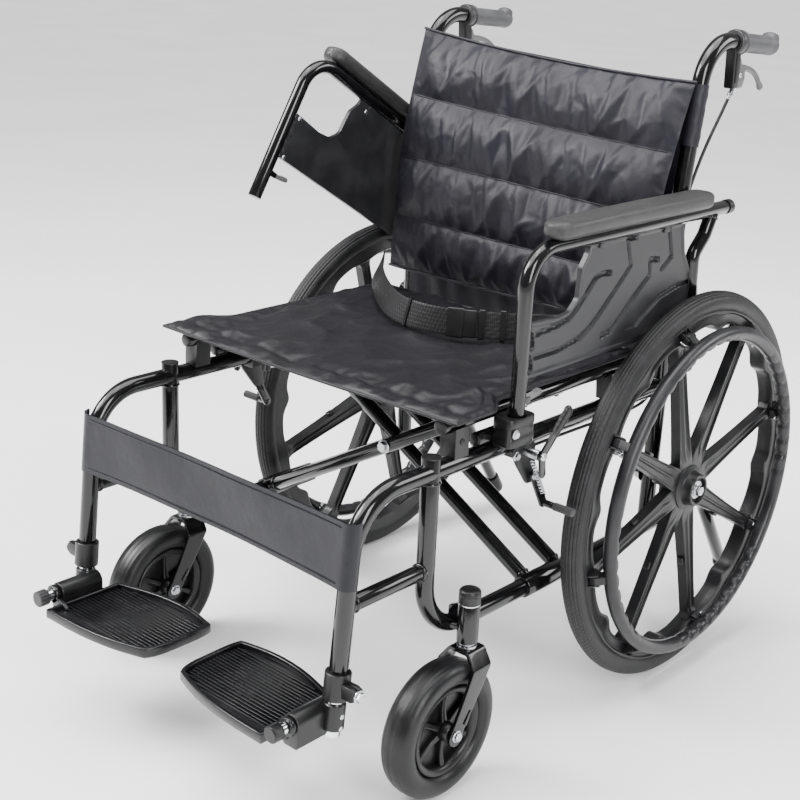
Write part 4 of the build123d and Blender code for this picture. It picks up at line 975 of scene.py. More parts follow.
# ---------------------------------------------------------------- folding braces and seat rails
def braces():
    """The crossed tubes with their seat rails, and the bolt they turn on."""
    brace_b_ys = tuple(y - BRACE_PITCH for y in BRACE_A_YS)
    for name, side, ys in (("brace_a", 1.0, BRACE_A_YS), ("brace_b", -1.0, brace_b_ys)):
        foot, rail = side * FRAME_X, -side * RAIL_X
        tubes = [bar([(foot, y, LOW_Z), (rail, y, RAIL_Z)], BRACE_R, REAR) for y in ys]
        tubes.append(lathe(collar(0, 109, TUBE_BORE, 15.6, 0.8, 0.6), (foot, min(ys) - 18, LOW_Z), REAR))
        tubes.append(bar([(rail, RAIL_Y[0], RAIL_Z), (rail, RAIL_Y[1], RAIL_Z)], RAIL_R))
        run = unit(np.array([rail - foot, 0, RAIL_Z - LOW_Z]))
        for y in ys:
            tubes.append(weld((foot, y, LOW_Z) + run * 17, run, BRACE_R - 0.4, 2.2))
            tubes.append(weld((rail, y, RAIL_Z) - run * 11.5, run, BRACE_R - 0.4, 2.2))
        piece(f"{name}_finish", together(tubes), name, PAINT, (name,))
        plugs = screw((rail, RAIL_Y[0] + 0.4, RAIL_Z), -REAR, 10.2, 2.6)
        plugs = plugs + screw((rail, RAIL_Y[1] - 0.4, RAIL_Z), REAR, 10.2, 2.6)
        piece(f"{name}_plugs", plugs, name, BLACK)
        washer = collar(0, 1.6, 5.2, 9)
        shims = [lathe(washer, (0, y + offset, CROSS_Z), REAR) for y in ys for offset in (-12.6, 11)]
        piece(f"{name}_washers", together(shims), name, STEEL)
    front, back = BRACE_A_YS[0] - BRACE_PITCH - BRACE_R - 7, BRACE_A_YS[1] + BRACE_R + 1
    shank = bar([(0, front + 4, CROSS_Z), (0, back + 6, CROSS_Z)], 5)
    heads = bolt((0, front + 6.5, CROSS_Z), -REAR, 15, 7) + bolt((0, back, CROSS_Z), REAR, 15, 7.6)
    piece("centre_bolt", shank + heads, "brace_a", STEEL)


# ---------------------------------------------------------------- armrests
PANEL_OUTLINE = [
    (-397, 553), (-397, 628), (-330, 624), (-303, 628), (-287, 643), (-284, 684), (-272, 702), (-268, 716),
    (-34, 716), (-22, 668), (-2, 640), (14, 636), (22, 624), (28, 600), (20, 554),
]
PANEL_CHANNELS = (
    ([(-212, 667), (-234, 669), (-248, 665), (-280, 634), (-303, 618), (-328, 613), (-372, 610)], 3.2),
    ([(-156, 709), (-176, 710), (-176, 706), (-163, 670), (-202, 636), (-245, 601), (-274, 586),
      (-318, 579), (-372, 579)], 3.2),
    ([(-92, 668), (-113, 671), (-112, 648), (-149, 621), (-198, 582), (-220, 579)], 3.2),
    ([(-70, 710), (-56, 668), (-80, 653)], 3.2),
    ([(20, 622), (-25, 621), (-76, 611), (-114, 592), (-133, 580), (-157, 580)], 2.6),
)
PANEL_NOTCHES = ([(-386, 608), (-383, 596)], [(-386, 577), (-383, 565)])


def side_panel():
    """A moulded sheet with channels pressed into it: the sheet's offset is the depth of the nearest
    channel, falling off over a couple of millimetres at the channel's sides, and its rim turns in all
    round."""
    outline = closed_outline(PANEL_OUTLINE, [3, 3, 12, 14, 14, 14, 8, 2, 2, 14, 12, 8, 8, 10, 4])
    flat, quads = stamped(outline, 1.5)
    pressed = np.zeros(len(flat))
    for line, half in PANEL_CHANNELS:
        way = np.array(line, float)
        far = distance_to(way, flat)[0]
        pressed = np.maximum(pressed, smooth(half + 1.2 - far, 0, 1.9))
    for line in PANEL_NOTCHES:
        far = distance_to(np.array(line, float), flat)[0]
        pressed = np.maximum(pressed, 1.4 * smooth(7.5 - far, 0, 2.4))
    rim_far = distance_to(np.vstack([outline, outline[:1]]), flat)[0]
    lip = smooth(7 - rim_far, 0, 3)
    x = ARM_X + 2.4 + 1.4 * lip - 5.4 * pressed
    front = np.column_stack([x, flat])
    back = np.column_stack([ARM_X - 3.2 + 0 * x, flat])
    return walled(front, back, quads)


def armrests():
    """The bent tubes, pads, panels and latches of the armrests."""
    post_and_top = rounded(
        in_plane([(ARM_POST_Y, ARM_FOOT_Z), (ARM_POST_Y, ARM_TOP_Z), (ARM_BACK_Y, ARM_TOP_Z)], ARM_X), 52
    )
    y, z = ARM_PIVOT
    leg = [
        (y + 30, ARM_TOP_Z - 4), (y + 14, ARM_TOP_Z - 36), (y - 13, ARM_TOP_Z - 62),
        (y - 10, ARM_TOP_Z - 110), (y, z),
    ]
    rear_leg = rounded(in_plane(leg, ARM_X), (22, 22, 30))
    eye = lathe(collar(-9.5, 9.5, 4.2, 12, 1), (ARM_X, y, z))
    ears_z, ears_y = 524.0, ARM_POST_Y + 15
    root_y, tip_y = ARM_POST_Y + 6, ears_y + 4
    ear = [(root_y, ears_z - 5), (tip_y, ears_z - 4), (tip_y, ears_z + 4), (root_y, ears_z + 5)]
    ear = closed_outline(ear, 1.5)
    ears = prism(ear, ARM_X - 7, ARM_X - 4.6, 0, 0.5) + prism(ear, ARM_X + 4.6, ARM_X + 7, 0, 0.5)
    bead = weld((ARM_X, y + 27, ARM_TOP_Z - ARM_R - 0.5), (0, 0.4, 0.9), ARM_R - 0.5, 1.8)
    frame_parts = together([bar(post_and_top, ARM_R), bar(rear_leg, ARM_R), eye, ears, bead])
    stand_in("armrest_frame", frame_parts, "armrest", PAINT)
    cap = lathe(
        [(-9, 10.6), (-9, 11), (3.6, 11), (4.6, 10), (5, 8), (5, 1)], (ARM_X, ARM_BACK_Y, ARM_TOP_Z), REAR
    )
    pair("armrest_cap", cap, "armrest", BLACK)

    turn = full_turn(48)
    c, s = np.cos(turn), np.sin(turn)
    ends = np.linspace(0, np.pi / 2, 12)
    length = (PAD_Y[1] - PAD_Y[0]) / 2
    nose = 21.0
    reach = length - nose + nose * np.sin(ends)
    along = np.concatenate([-reach[::-1], np.linspace(-length + 40, length - 40, 20), reach])
    tuck = np.sqrt(np.maximum(1 - ((np.abs(along) - length + nose) / nose).clip(0) ** 2, 0.001))
    half_w = (PAD_X[1] - PAD_X[0]) / 2
    half_t = (PAD_Z[1] - PAD_Z[0]) / 2
    shape = np.abs(c) ** (2 / 3.4) * np.sign(c), np.abs(s) ** (2 / 2.9) * np.sign(s)
    x = half_w * (0.25 + 0.75 * tuck[:, None]) * tuck[:, None] ** 0.3 * shape[0][None]
    swell = 1 + 0.05 * np.cos(np.pi * along / length)[:, None]
    up = half_t * tuck[:, None] ** 0.55 * shape[1][None] * np.where(shape[1][None] > 0, swell / 1.05, 1)
    parting = 0.8 * np.exp(-(((shape[1][None] * half_t + 9.0) / 0.9) ** 2))
    x = x - np.sign(x) * parting
    middle = np.mean([PAD_X, PAD_Y, PAD_Z], axis=1)
    rows = np.stack([x, np.broadcast_to(along[:, None], x.shape), up], -1) + middle
    for side, sign in SIDES:
        name, node = f"armrest_pad_finish_{side}", f"armrest_pad_{side}"
        pad = piece(name, skin(rows), f"armrest_{side}", SKIN, (node,), sign)
    stand_in("side_panel", side_panel(), "armrest", PANEL, 50)
    clips = together([
        prism(
            closed_outline([(y - 8, 706), (y + 8, 706), (y + 7, 714), (y - 7, 714)], 2), ARM_X - 4,
            ARM_X + 5.6, 0, 1,
        )
        for y in (-240.0, -80.0)
    ])
    pair("panel_clips", clips, "armrest", PANEL)
    fixings = ((-379, 622), (-379, 557), (-250, 700), (-60, 700), (14, 612))
    heads = [screw((ARM_X - 3.0, y, z), -ACROSS, 4.4, 2.4) for y, z in fixings]
    heads += [screw((ARM_X + 3.6, 14, 612), ACROSS, 3.4, 1.8)]
    pair("panel_screws", together(heads), "armrest", STEEL)

    latch = prism(
        slot_outline((ears_y, ears_z), (ears_y + 30, ears_z + 4), 7), ARM_X - 4, ARM_X + 4, 0, 1.2
    )
    ridges = []
    for d in (20, 23, 26, 29):
        spot = (ears_y + d, ears_z + 4.0 + d * 0.13)
        ridges.append(bar([(ARM_X - 3.4, *spot), (ARM_X + 3.4, *spot)], 0.7, REAR, 10, 0.2))
    latch = together([latch, *ridges])
    stand_in("armrest_latch", latch, "armrest_latch", LIGHT)


# ---------------------------------------------------------------- footrests
def foot_outline():
    """The footplate's edge: bowed at the front and the back, round at its inner corners."""
    back = spline([(32, -650), (62, -642), (110, -638), (170, -646), (222, -664)], 24)
    front = spline([(222, -789), (180, -789), (125, -785), (70, -774), (38, -762)], 24)
    inner = spline([(38, -762), (29, -750), (28, -700), (28, -660), (32, -650)], 14)[1:-1]
    return np.vstack([back, front, inner])


def footplate():
    """A tray: a border that is one profile carried round the plate's edge, a sunk floor inside it, and ribs
    across the floor, each reaching as far as the border."""
    outline = foot_outline()
    inner = inward(outline)
    profile = [
        (0.8, 156), (0, 157), (0, 168.4), (0.6, 169.6), (1.6, 170), (5, 170), (6.2, 169.4), (6.8, 168), (
            7, 160
        ),
        (6.4, 156),
    ]
    rows = np.array(
        [np.column_stack([outline + inset * inner, 0 * outline[:, 0] + z]) for inset, z in profile]
    )
    parts = [skin(rows, ring=True), prism(outline + 6 * inner, 156.3, 162.6, 2, 0.5)]
    field = outline + 9 * inner
    ahead = np.roll(field, -1, 0)
    for y in -712 + 6.2 * np.arange(-8, 9):
        crossing = (field[:, 1] > y) != (ahead[:, 1] > y)
        share = (y - field[crossing, 1]) / (ahead[crossing, 1] - field[crossing, 1])
        x = field[crossing, 0] + share * (ahead[crossing, 0] - field[crossing, 0])
        if len(x) > 1 and x.max() - x.min() > 12:
            corners = [(x.min(), y - 1.4), (x.max(), y - 1.4), (x.max(), y + 1.4), (x.min(), y + 1.4)]
            parts.append(prism(closed_outline(corners, 1.0, 3), 162, 165.8, 2, 0.5))
    return together(parts)


def footrests():
    """The chrome slide tubes, their hinge housings and the footplates on their pins."""
    leg = [(FRAME_X, leg_y(147), 147), (FRAME_X, leg_y(300), 300)]
    stand_in("footrest_tube", bar(leg, 10.8), "footrest", CHROME)
    pin = lathe([(0, 1), (0, 5.4), (0.6, 6), (58, 6), (60, 5)], (PIN_X, FOOT_FRONT_Y + 3, PIN_Z), REAR, 40)
    pair("footplate_pin", pin, "footrest", CHROME)
    turn = np.linspace(0, 180, 25) * np.pi / 180
    arch = np.stack([PIN_X + 14 * np.cos(turn), PIN_Z + 14 * np.sin(turn)], -1)
    base = [(PIN_X - 14, 150), (PIN_X - 10, 146), (PIN_X + 10, 146), (PIN_X + 14, 150)]
    outline = np.vstack([arch, base])
    body = prism(outline, HOUSING_FRONT_Y, leg_y(147) + 12, 1, 1.6)
    leg_run = unit(np.array([0, leg_y(2) - leg_y(1), 1.0]))
    boss = lathe(collar(-12, 23.4, 10.9, 14.2, 1.4, 1.2), (FRAME_X, leg_y(168), 168), leg_run)
    stand_in("hinge_housing", body + boss, "footrest", BLACK)
    heads = [screw((FRAME_X + 13.4, leg_y(z), z), ACROSS, 3.6, 2.2) for z in (176, 160)]
    pair("housing_screws", together(heads), "footrest", STEEL)

    eye = lathe(collar(0, 7, 6.4, 13, 0.8, 0.6), (PIN_X, -766, PIN_Z), REAR, 64)
    corners = [(208, 157), (PIN_X, 159), (PIN_X + 4, 168), (PIN_X - 8, 176), (216, 171), (208, 166)]
    web = prism(closed_outline(corners, 2.5), -766, -758.6, 1, 1.4)
    stand_in("footplate", footplate() + eye + web, "footplate", FOOT, 45)
    ring = lathe(collar(0, 9, 6.2, 8.6, 0.6), (PIN_X, -775.4, PIN_Z), REAR, 48)
    pair("pin_ring", ring, "footplate", CHROME)
    profile = [(0, 2), (0, 9.6), (1.4, 11.2), (14.6, 11.4), (16, 10.6), (16, 6)]
    for side, sign in SIDES:
        depth = 0.012 if sign > 0 else 0.04
        knob = lathe(
            profile, (PIN_X, -791.6, PIN_Z), REAR, 112, False, lambda turn: 1 + depth * np.cos(16 * turn)
        )
        shade = (BLACK, "black_plastic") if sign > 0 else (GREY, "grip_rubber")
        piece(f"pin_knob_{side}", knob, f"footplate_{side}", shade[0], (), sign)


# ---------------------------------------------------------------- wheel locks
def wheel_locks():
    """Clamp and cheek, lever with its grip, and a spring that pulls the arm of the shoe."""
    cheek = closed_outline([(-392, 452), (-340, 452), (-334, 392), (-352, 392), (-378, 426)], 5)
    clamp = closed_outline(
        [(FRAME_X - 15, 436), (FRAME_X + 15.5, 436), (FRAME_X + 15.5, 462), (FRAME_X - 15, 462)], 4
    )
    body = prism(clamp, -384, -344, 1, 1.4) + prism(cheek, *PLATE_X, 0, 0.8)
    stop = prism(closed_outline([(243, 424), (253, 424), (253, 453), (243, 453)], 2), -354, -344, 1, 0.8)
    stand_in("wheel_lock_bracket", body + stop, "frame", BLACK)
    pins = together([
        bar([(PLATE_X[0], *LOCK_PIVOT), (300.4, *LOCK_PIVOT)], 7, REAR),
        screw((306.2, *LOCK_PIVOT), ACROSS, 6.2, 4.2),
        bolt((281.2, *SHOE_PIVOT), ACROSS, 9, 4),
        bolt((PLATE_X[1] + 0.2, -382, 440), ACROSS, 9, 4.5),
        bolt((FRAME_X - 15.2, -364, 449), -ACROSS, 9, 4.5),
    ])
    pair("wheel_lock_pins", pins, "frame", STEEL)

    arm = prism(slot_outline(LOCK_PIVOT, (LOCK_TIP[0] - 14, LOCK_TIP[1] - 14), 13), *LEVER_X, 0, 0.6)
    tail = prism(
        slot_outline(LOCK_PIVOT, (LOCK_PIVOT[0] + 4, LOCK_PIVOT[1] - 26), 12), 301.6, 305.4, 0, 0.6
    )
    start, tip = np.array((303.5, LOCK_PIVOT[0] + 24, LOCK_PIVOT[1] + 24)), np.array((303.5, *LOCK_TIP))
    share = np.linspace(0, 1, 24)
    path = start + (tip - start) * share[:, None]
    wide = 8.6 + 1.6 * share - 0.9 * np.sin(6 * np.pi * share) ** 2
    wide = wide * np.sqrt(1 - np.clip((share - 0.86) / 0.145, 0, 1) ** 2 * 0.96)
    wide = wide * np.sqrt(1 - np.clip((0.08 - share) / 0.085, 0, 1) ** 2 * 0.8)
    section = circle(24)[None] * np.stack([0.46 * wide, wide], -1)[:, None]
    handle = skin(carried(path, section))
    stand_in("wheel_lock_lever", arm + tail, "wheel_lock_lever", PAINT)
    pair("wheel_lock_grip", handle, "wheel_lock_lever", WHEEL)

    link = prism(slot_outline(SHOE_PIVOT, SHOE_BAR, 14), 276.6, 280.4, 0, 0.6)
    shaft = bar([(276, *SHOE_BAR), (296, *SHOE_BAR)], 5, REAR)
    stand_in("wheel_lock_shoe", link + shaft, "wheel_lock_shoe", PAINT)
    along = np.linspace(0, 33, 34)
    knurl = 6.0 - 0.5 * (np.arange(34) % 2)
    knurl[[0, -1]] -= 1.2
    shoe = lathe(
        np.stack([along, knurl], -1), (297.5, *SHOE_BAR), ACROSS, 40, False,
        lambda turn: 1 + 0.03 * np.cos(20 * turn),
    )
    pair("wheel_lock_roller", shoe, "wheel_lock_shoe", GREY)
    coil = np.linspace(0, 11 * 2 * np.pi, 11 * 14)
    lift = np.linspace(0, 1, len(coil))
    start, end = np.array([285.0, -360, 431.0]), np.array([285.0, -328, 374.0])
    axis_run = unit(end - start)
    square = np.cross(axis_run, ACROSS)
    around = np.cos(coil)[:, None] * ACROSS + np.sin(coil)[:, None] * square
    helix = start + (end - start) * lift[:, None] + 3.4 * around
    spring = skin(carried(helix, circle(8, 0.8), axis_run))
    pair("wheel_lock_spring", spring, "wheel_lock_shoe", STEEL)


# ---------------------------------------------------------------- push handles and attendant brakes
CABLE = [
    (256, 117, 891.5), (256, 96, 862), (253, 54, 800), (250, 18, 715), (250, 16, 580), (248, 17, 470),
    (237.5, 2, 424), (238.5, -60, 418), (239.5, -200, 424), (248, -343.6, 430),
]


def handles():
    """Grips, brake perches with their levers, and the cables."""
    rise = (HANDLE_Z - CANE_BEND_Z) * CANE_LEAN
    corner, end = np.array([FRAME_X, rise, HANDLE_Z]), np.array([FRAME_X, *HANDLE_END])
    run = unit(end - corner)
    dome_from = 96.0
    nose = dome_from + 15.4 * np.sin(np.linspace(0.2, 1.5, 10))
    along = np.concatenate([[0, 0.8, 4, 4.8], np.linspace(6, dome_from, 91), nose])
    radius = np.full(len(along), 14.2)
    radius[:2] = (17, 18.2)
    radius[2:4] = (18.2, 15.6)
    dome = np.sqrt(np.clip(1 - ((along - dome_from) / 15.8).clip(0) ** 2, 0, 1))
    radius = radius + 0.8 * smooth(along, 80, 98) - 13.4 * (1 - dome)
    turn = full_turn(96)
    top = smooth(np.sin(turn), 0.62, 0.78)
    span = smooth(along, 24, 30) * (1 - smooth(along, 74, 80))
    ahead, round_it = 1.15 * along[:, None], 14 * turn[None]
    ridge = np.maximum(np.cos(ahead + round_it), np.cos(ahead - round_it))
    under = smooth(along, 84, 92)[:, None] * (1 - smooth(along, 104, 111))[:, None]
    under = smooth(-np.sin(turn), 0.5, 0.9)[None] * under
    patch = span[:, None] * top[None]
    radial = radius[:, None] + 0.7 * patch * smooth(ridge, 0.2, 0.9) - 0.5 * patch + 5.0 * under
    section = np.stack([radial * np.cos(turn), radial * np.sin(turn)], -1)
    start = end - run * 106
    up = np.cross(ACROSS, run) * -1
    rows = start + along[:, None, None] * run + section[..., :1] * ACROSS + section[..., 1:] * up
    stand_in("grip", skin(rows), "frame", GRIP, 70)

    ring_at = end - run * 122
    clamp = lathe(collar(0, 15.6, TUBE_BORE, 17.6, 1.2), ring_at, run)
    strap = lathe([(3, 17), (3, 18), (5, 18.4), (10.6, 18.4), (12.6, 18), (12.6, 17)], ring_at, run)
    hang = closed_outline(
        [(98, 956), (115, 954), (119, 925), (117, 894), (103, 892), (101, 918)], [3, 3, 5, 3, 3, 6]
    )
    body = prism(hang, FRAME_X - PERCH_HALF_W, FRAME_X + PERCH_HALF_W, 0, 2.2)
    ridge = closed_outline([(103, 946), (113, 944), (115, 925), (113, 902), (106, 900), (105, 918)], 3)
    plate = prism(ridge, FRAME_X + 8, FRAME_X + 9.6, 0, 0.8)
    pair("brake_clamp", clamp + strap, "frame", GREY)
    parts = together([body, plate])
    stand_in("brake_perch", parts, "frame", BLACK)
    pins = [screw((FRAME_X + s * PERCH_HALF_W, *BRAKE_PIVOT), (s, 0, 0), 4, 2) for s in (1, -1)]
    barrel = [(-4, 1), (-4, 3.4), (8, 3.4), (8.6, 4.4), (14, 4.4), (14.6, 2.8), (20, 2.6), (20, 1)]
    adjuster = lathe(barrel, (FRAME_X, 117.6, 893), unit(np.array([0, -0.58, -0.81])), 24)
    pair("brake_perch_metal", together([*pins, adjuster]), "frame", STEEL)

    y, z = BRAKE_PIVOT
    bends = [(0, 4), (16, 8), (34, 8), (56, 1), (73, -12), (84, -27)]
    path = spline([(FRAME_X, y + over, z + rise) for over, rise in bends], 40)
    share = np.linspace(0, 1, 40)
    tall = 8 - 3.6 * smooth(share, 0, 0.4)
    ball = np.sqrt(np.clip(1 - ((share - 0.945) / 0.058) ** 2, 0, 1))
    tall = np.maximum(tall * (share < 0.985), 5.4 * ball).clip(0.8)
    wide = np.maximum(3.5 + 0 * share, 5.0 * ball) * (share < 0.995) + 0.8 * (share >= 0.995)
    section = circle(24)[None] * np.stack([wide, tall], -1)[:, None]
    corners = [
        (116, 936), (122, 938), (127, 928), (138, 921), (140, 906), (134, 893), (120, 892), (117, 908)
    ]
    blade = prism(closed_outline(corners, [2, 3, 6, 4, 4, 4, 3, 6]), FRAME_X - 6, FRAME_X + 6, 0, 1.6)
    lever = skin(carried(path, section)) + blade
    stand_in("brake_lever", lever, "brake_lever", LIGHT, 50)
    cable = bar(spline(CABLE, 160), 2.5, (0.9, 0.1, 0.42), 16, 0.5)
    stand_in("brake_cable", cable, "frame", SHEATH)
    ferrule = [(0, 1), (0, 3.6), (12, 3.6), (13, 3), (13, 1)]
    ferrule = lathe(ferrule, np.array(CABLE[-1]) - (0, 3, 0), (-0.05, 1, -0.04), 24)
    pair("cable_ferrule", ferrule, "frame", STEEL)


# ---------------------------------------------------------------- upholstery
def folds(u, v, waves):
    """Creases: a sum of sharp-crested waves, each with its own direction, pitch, place and strength."""
    total = 0.0
    for along_u, along_v, phase, strength in waves:
        wave = np.sin(along_u * u + along_v * v + phase + 0.8 * np.sin(0.7 * along_v * u + 1.3 * phase))
        total = total + strength * (1 - np.abs(wave) ** 0.7)
    return total


CLOTH = {
    "quality": 5, "mass": 0.25, "tension_stiffness": 12, "compression_stiffness": 12, "shear_stiffness": 4,
    "bending_stiffness": 0.08, "use_pressure": True, "vertex_group_mass": "seams",
}


def settle(made, pinned, pressure, slack, cap, frames=22):
    """Lets a closed cloth swell under a little pressure between its pinned seams, then keeps the result, no
    point of it moving further than cap."""
    count = len(made.data.vertices)
    before = np.empty(count * 3, np.float32)
    made.data.vertices.foreach_get("co", before)
    group = made.vertex_groups.new(name="seams")
    group.add(np.flatnonzero(pinned).tolist(), 1.0, "REPLACE")
    cloth = made.modifiers.new("swell", "CLOTH")
    settings = cloth.settings
    for name, value in CLOTH.items():
        setattr(settings, name, value)
    settings.uniform_pressure_force = pressure
    settings.shrink_min = -slack
    settings.effector_weights.gravity = 0
    cloth.collision_settings.use_collision = False
    cloth.point_cache.frame_start = 1
    cloth.point_cache.frame_end = frames
    scene = bpy.context.scene
    for step in range(1, frames + 1):
        scene.frame_set(step)
    ready = made.evaluated_get(bpy.context.evaluated_depsgraph_get()).data
    after = np.empty(count * 3, np.float32)
    ready.vertices.foreach_get("co", after)
    move = (after - before).reshape(-1, 3)
    length = np.linalg.norm(move, axis=1, keepdims=True)
    move *= np.minimum(1, cap / np.maximum(length, 1e-9))
    made.data.vertices.foreach_set("co", (before.reshape(-1, 3) + move).ravel())
    made.modifiers.remove(cloth)
    made.vertex_groups.clear()
    scene.frame_set(1)
    made.data.update()


def swollen(made):
    """One subdivision, so that the settled cloth is smooth close to."""
    finer = made.modifiers.new("finer", "SUBSURF")
    finer.levels = 1
    finer.render_levels = 1


def pillow(front, back):
    """Two sheets of one grid of points that share their border, as a closed surface. Gives it and the
    border."""
    rows, columns = front.shape[:2]
    border = np.zeros((rows, columns), bool)
    border[[0, -1]] = True
    border[:, [0, -1]] = True
    quads = lattice(rows, columns, False, False)
    index = np.full(rows * columns, -1)
    inner = np.flatnonzero(~border.ravel())
    index[inner] = rows * columns + np.arange(len(inner))
    index[border.ravel()] = np.flatnonzero(border.ravel())
    points = np.vstack([front.reshape(-1, 3), back.reshape(-1, 3)[inner]])
    return Shape(points, [quads, index[quads][:, ::-1]]), border


BACK_SEAMS = (641.0, 738.0, 838.0)
BACK_LOW, BACK_HIGH = 551.0, 941.0
SLING_TOP, SLING_FOOT, SLING_HALF_W = 934.0, 491.0, 248.0
SEAT_FRONT_Y, SEAT_LONG, SEAT_HALF_W, SEAT_EAR, SEAT_MIDDLE_Z = -524.0, 446.0, 258.0, 26.0, 521.5
STRAP_LOW_Z, STRAP_TALL = 343.0, 86.0
BELT_HALF_W, BELT_STEPS = 20.0, 150


def narrow_in_fold(made):
    """A soft part between the side frames, given its own mesh and hung on the left side frame."""
    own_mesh(made)
    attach(made, "left_frame")


def span_rails(made):
    """A soft part on the seat, its placement baked into its mesh."""
    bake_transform(made)


def slump(u, v):
    """How much lower the back hangs towards the left, which is nothing at its foot."""
    return 17 * (1 + u) * np.sqrt(np.clip(v, 0, 1))


def backrest():
    """The padded front of the back: four cushions one above the other, sewn down at their seams. Its top
    edge sags between the canes."""
    rows, columns = 84, 112
    v = np.linspace(0, 1, rows)[:, None]
    u = np.linspace(-1, 1, columns)[None]
    sag = 9 * (1 - u**2) * smooth(v, 0.6, 1)
    z = BACK_LOW + (BACK_HIGH - BACK_LOW) * v - sag - slump(u, v)
    lean = np.maximum(z - CANE_BEND_Z, 0) * CANE_LEAN
    sling = -15.5 + lean + 0 * u
    x = (BACK_HALF_W - 2 - 5 * np.sin(np.pi * v) * np.abs(u) ** 8) * u
    seams = np.array([BACK_LOW, *BACK_SEAMS, BACK_HIGH])
    level = BACK_LOW + (BACK_HIGH - BACK_LOW) * (v + 0 * u)
    band = np.clip(np.searchsorted(seams, level) - 1, 0, 3)
    low, high = seams[band], seams[band + 1]
    puff = np.sin(np.pi * np.clip((level - low) / (high - low), 0, 1)) ** 0.55
    edge = (1 - np.abs(u) ** 10) * (1 - smooth(v, 0.97, 1) * 0.7)
    depth = 50 - 38 * v**2.2
    waves = ((3.2, 2.2, 0.4, 1.0), (2.1, -4.2, 1.7, 0.9), (6, 3.5, 2.1, 0.5), (1.6, 7, 0.3, 0.5))
    crease = folds(3.1 * u, 2.2 * v, waves)
    near = np.exp(-np.minimum(level - low, high - level) / 20)
    gathers = np.sin(34 * u + 4 * v) + 0.7 * np.sin(53 * u + 2 + 9 * v) + 0.6 * np.sin(21 * u - 12 * v)
    thick = 4 + 13 * puff + 5.6 * (crease - 1.15) * puff + 0.9 * gathers * near * puff**0.4
    hang = sling - np.maximum(depth - 11, 1)
    front = np.stack(np.broadcast_arrays(x, hang - edge * thick.clip(1.5), z), -1)
    back = np.stack(np.broadcast_arrays(x, hang + 1.0 * edge, z), -1)
    shape, border = pillow(front, back)
    made = piece("backrest_finish", shape, None, NYLON, ("backrest",), sharp=75)
    seam = (np.abs(level[..., None] - seams[1:-1]).min(-1) < 2.6) | border
    pinned = np.concatenate([seam.ravel(), np.ones(len(shape.points) - rows * columns, bool)])
    settle(made, pinned, 2.6, 0.025, 0.008)
    swollen(made)
    narrow_in_fold(made)
    hem = []
    for k in (0, -1):
        line = front[k].copy()
        line[:, 1] -= 1.0
        hem.append(bar(line, 2.2, UP, 10, 0.4))
    for seam_z in BACK_SEAMS:
        row = int(round((seam_z - BACK_LOW) / (BACK_HIGH - BACK_LOW) * (rows - 1)))
        hem.append(bar(front[row][3:-3] - (0, 1.2, 0), 1.1, UP, 8, 0.3))
    backrest_sling()
    trim = piece("backrest_piping", together(hem), None, NYLON)
    narrow_in_fold(trim)


def backrest_sling():
    """A flat sheet from cane to cane behind the cushions, its loose foot rippled."""
    drop = np.linspace(SLING_TOP, SLING_FOOT, 60)[:, None]
    reach = np.linspace(-SLING_HALF_W, SLING_HALF_W, 90)[None]
    ripple = 2.2 * np.sin(reach / 19) * smooth(560 - drop, 0, 60) + 1.2 * np.sin(reach / 7.3 + drop / 30)
    fabric = np.maximum(drop - CANE_BEND_Z, 0) * CANE_LEAN - 14.6
    level_z = drop - slump(reach / BACK_HALF_W, (drop - BACK_LOW) / (BACK_HIGH - BACK_LOW))
    face = np.stack(np.broadcast_arrays(reach, fabric + ripple * smooth(560 - drop, -20, 40), level_z), -1)
    sling = skin(np.concatenate([face, (face + (0, 1.6, 0))[:, ::-1]], 1))
    sheet = piece("backrest_sling", sling, None, NYLON)
    narrow_in_fold(sheet)


def sleeves():
    """The sling's ends, sewn round the canes: a loose tube with creases running round it."""
    along = np.linspace(0, 1, 90)
    turn = full_turn(40)
    crease = folds(along[:, None], np.sin(turn)[None], ((9, 1.5, 0.4, 0.7), (15, -2.1, 1.1, 0.5)))
    radius = 14.0 + 0.9 * crease - 0.6 + 0.5 * np.exp(-(((along - 0.012) / 0.012) ** 2))[:, None]
    section = np.stack([radius * np.cos(turn), radius * np.sin(turn)], -1)
    for side, sign in SIDES:
        z = 850 - slump(sign, 1) + 87 * along
        path = np.stack([FRAME_X + 0 * z, (z - CANE_BEND_Z) * CANE_LEAN, z], -1)
        sleeve = skin(carried(path, section))
        piece(f"cane_sleeve_{side}", sleeve, f"{side}_frame", NYLON, (), sign, 70)


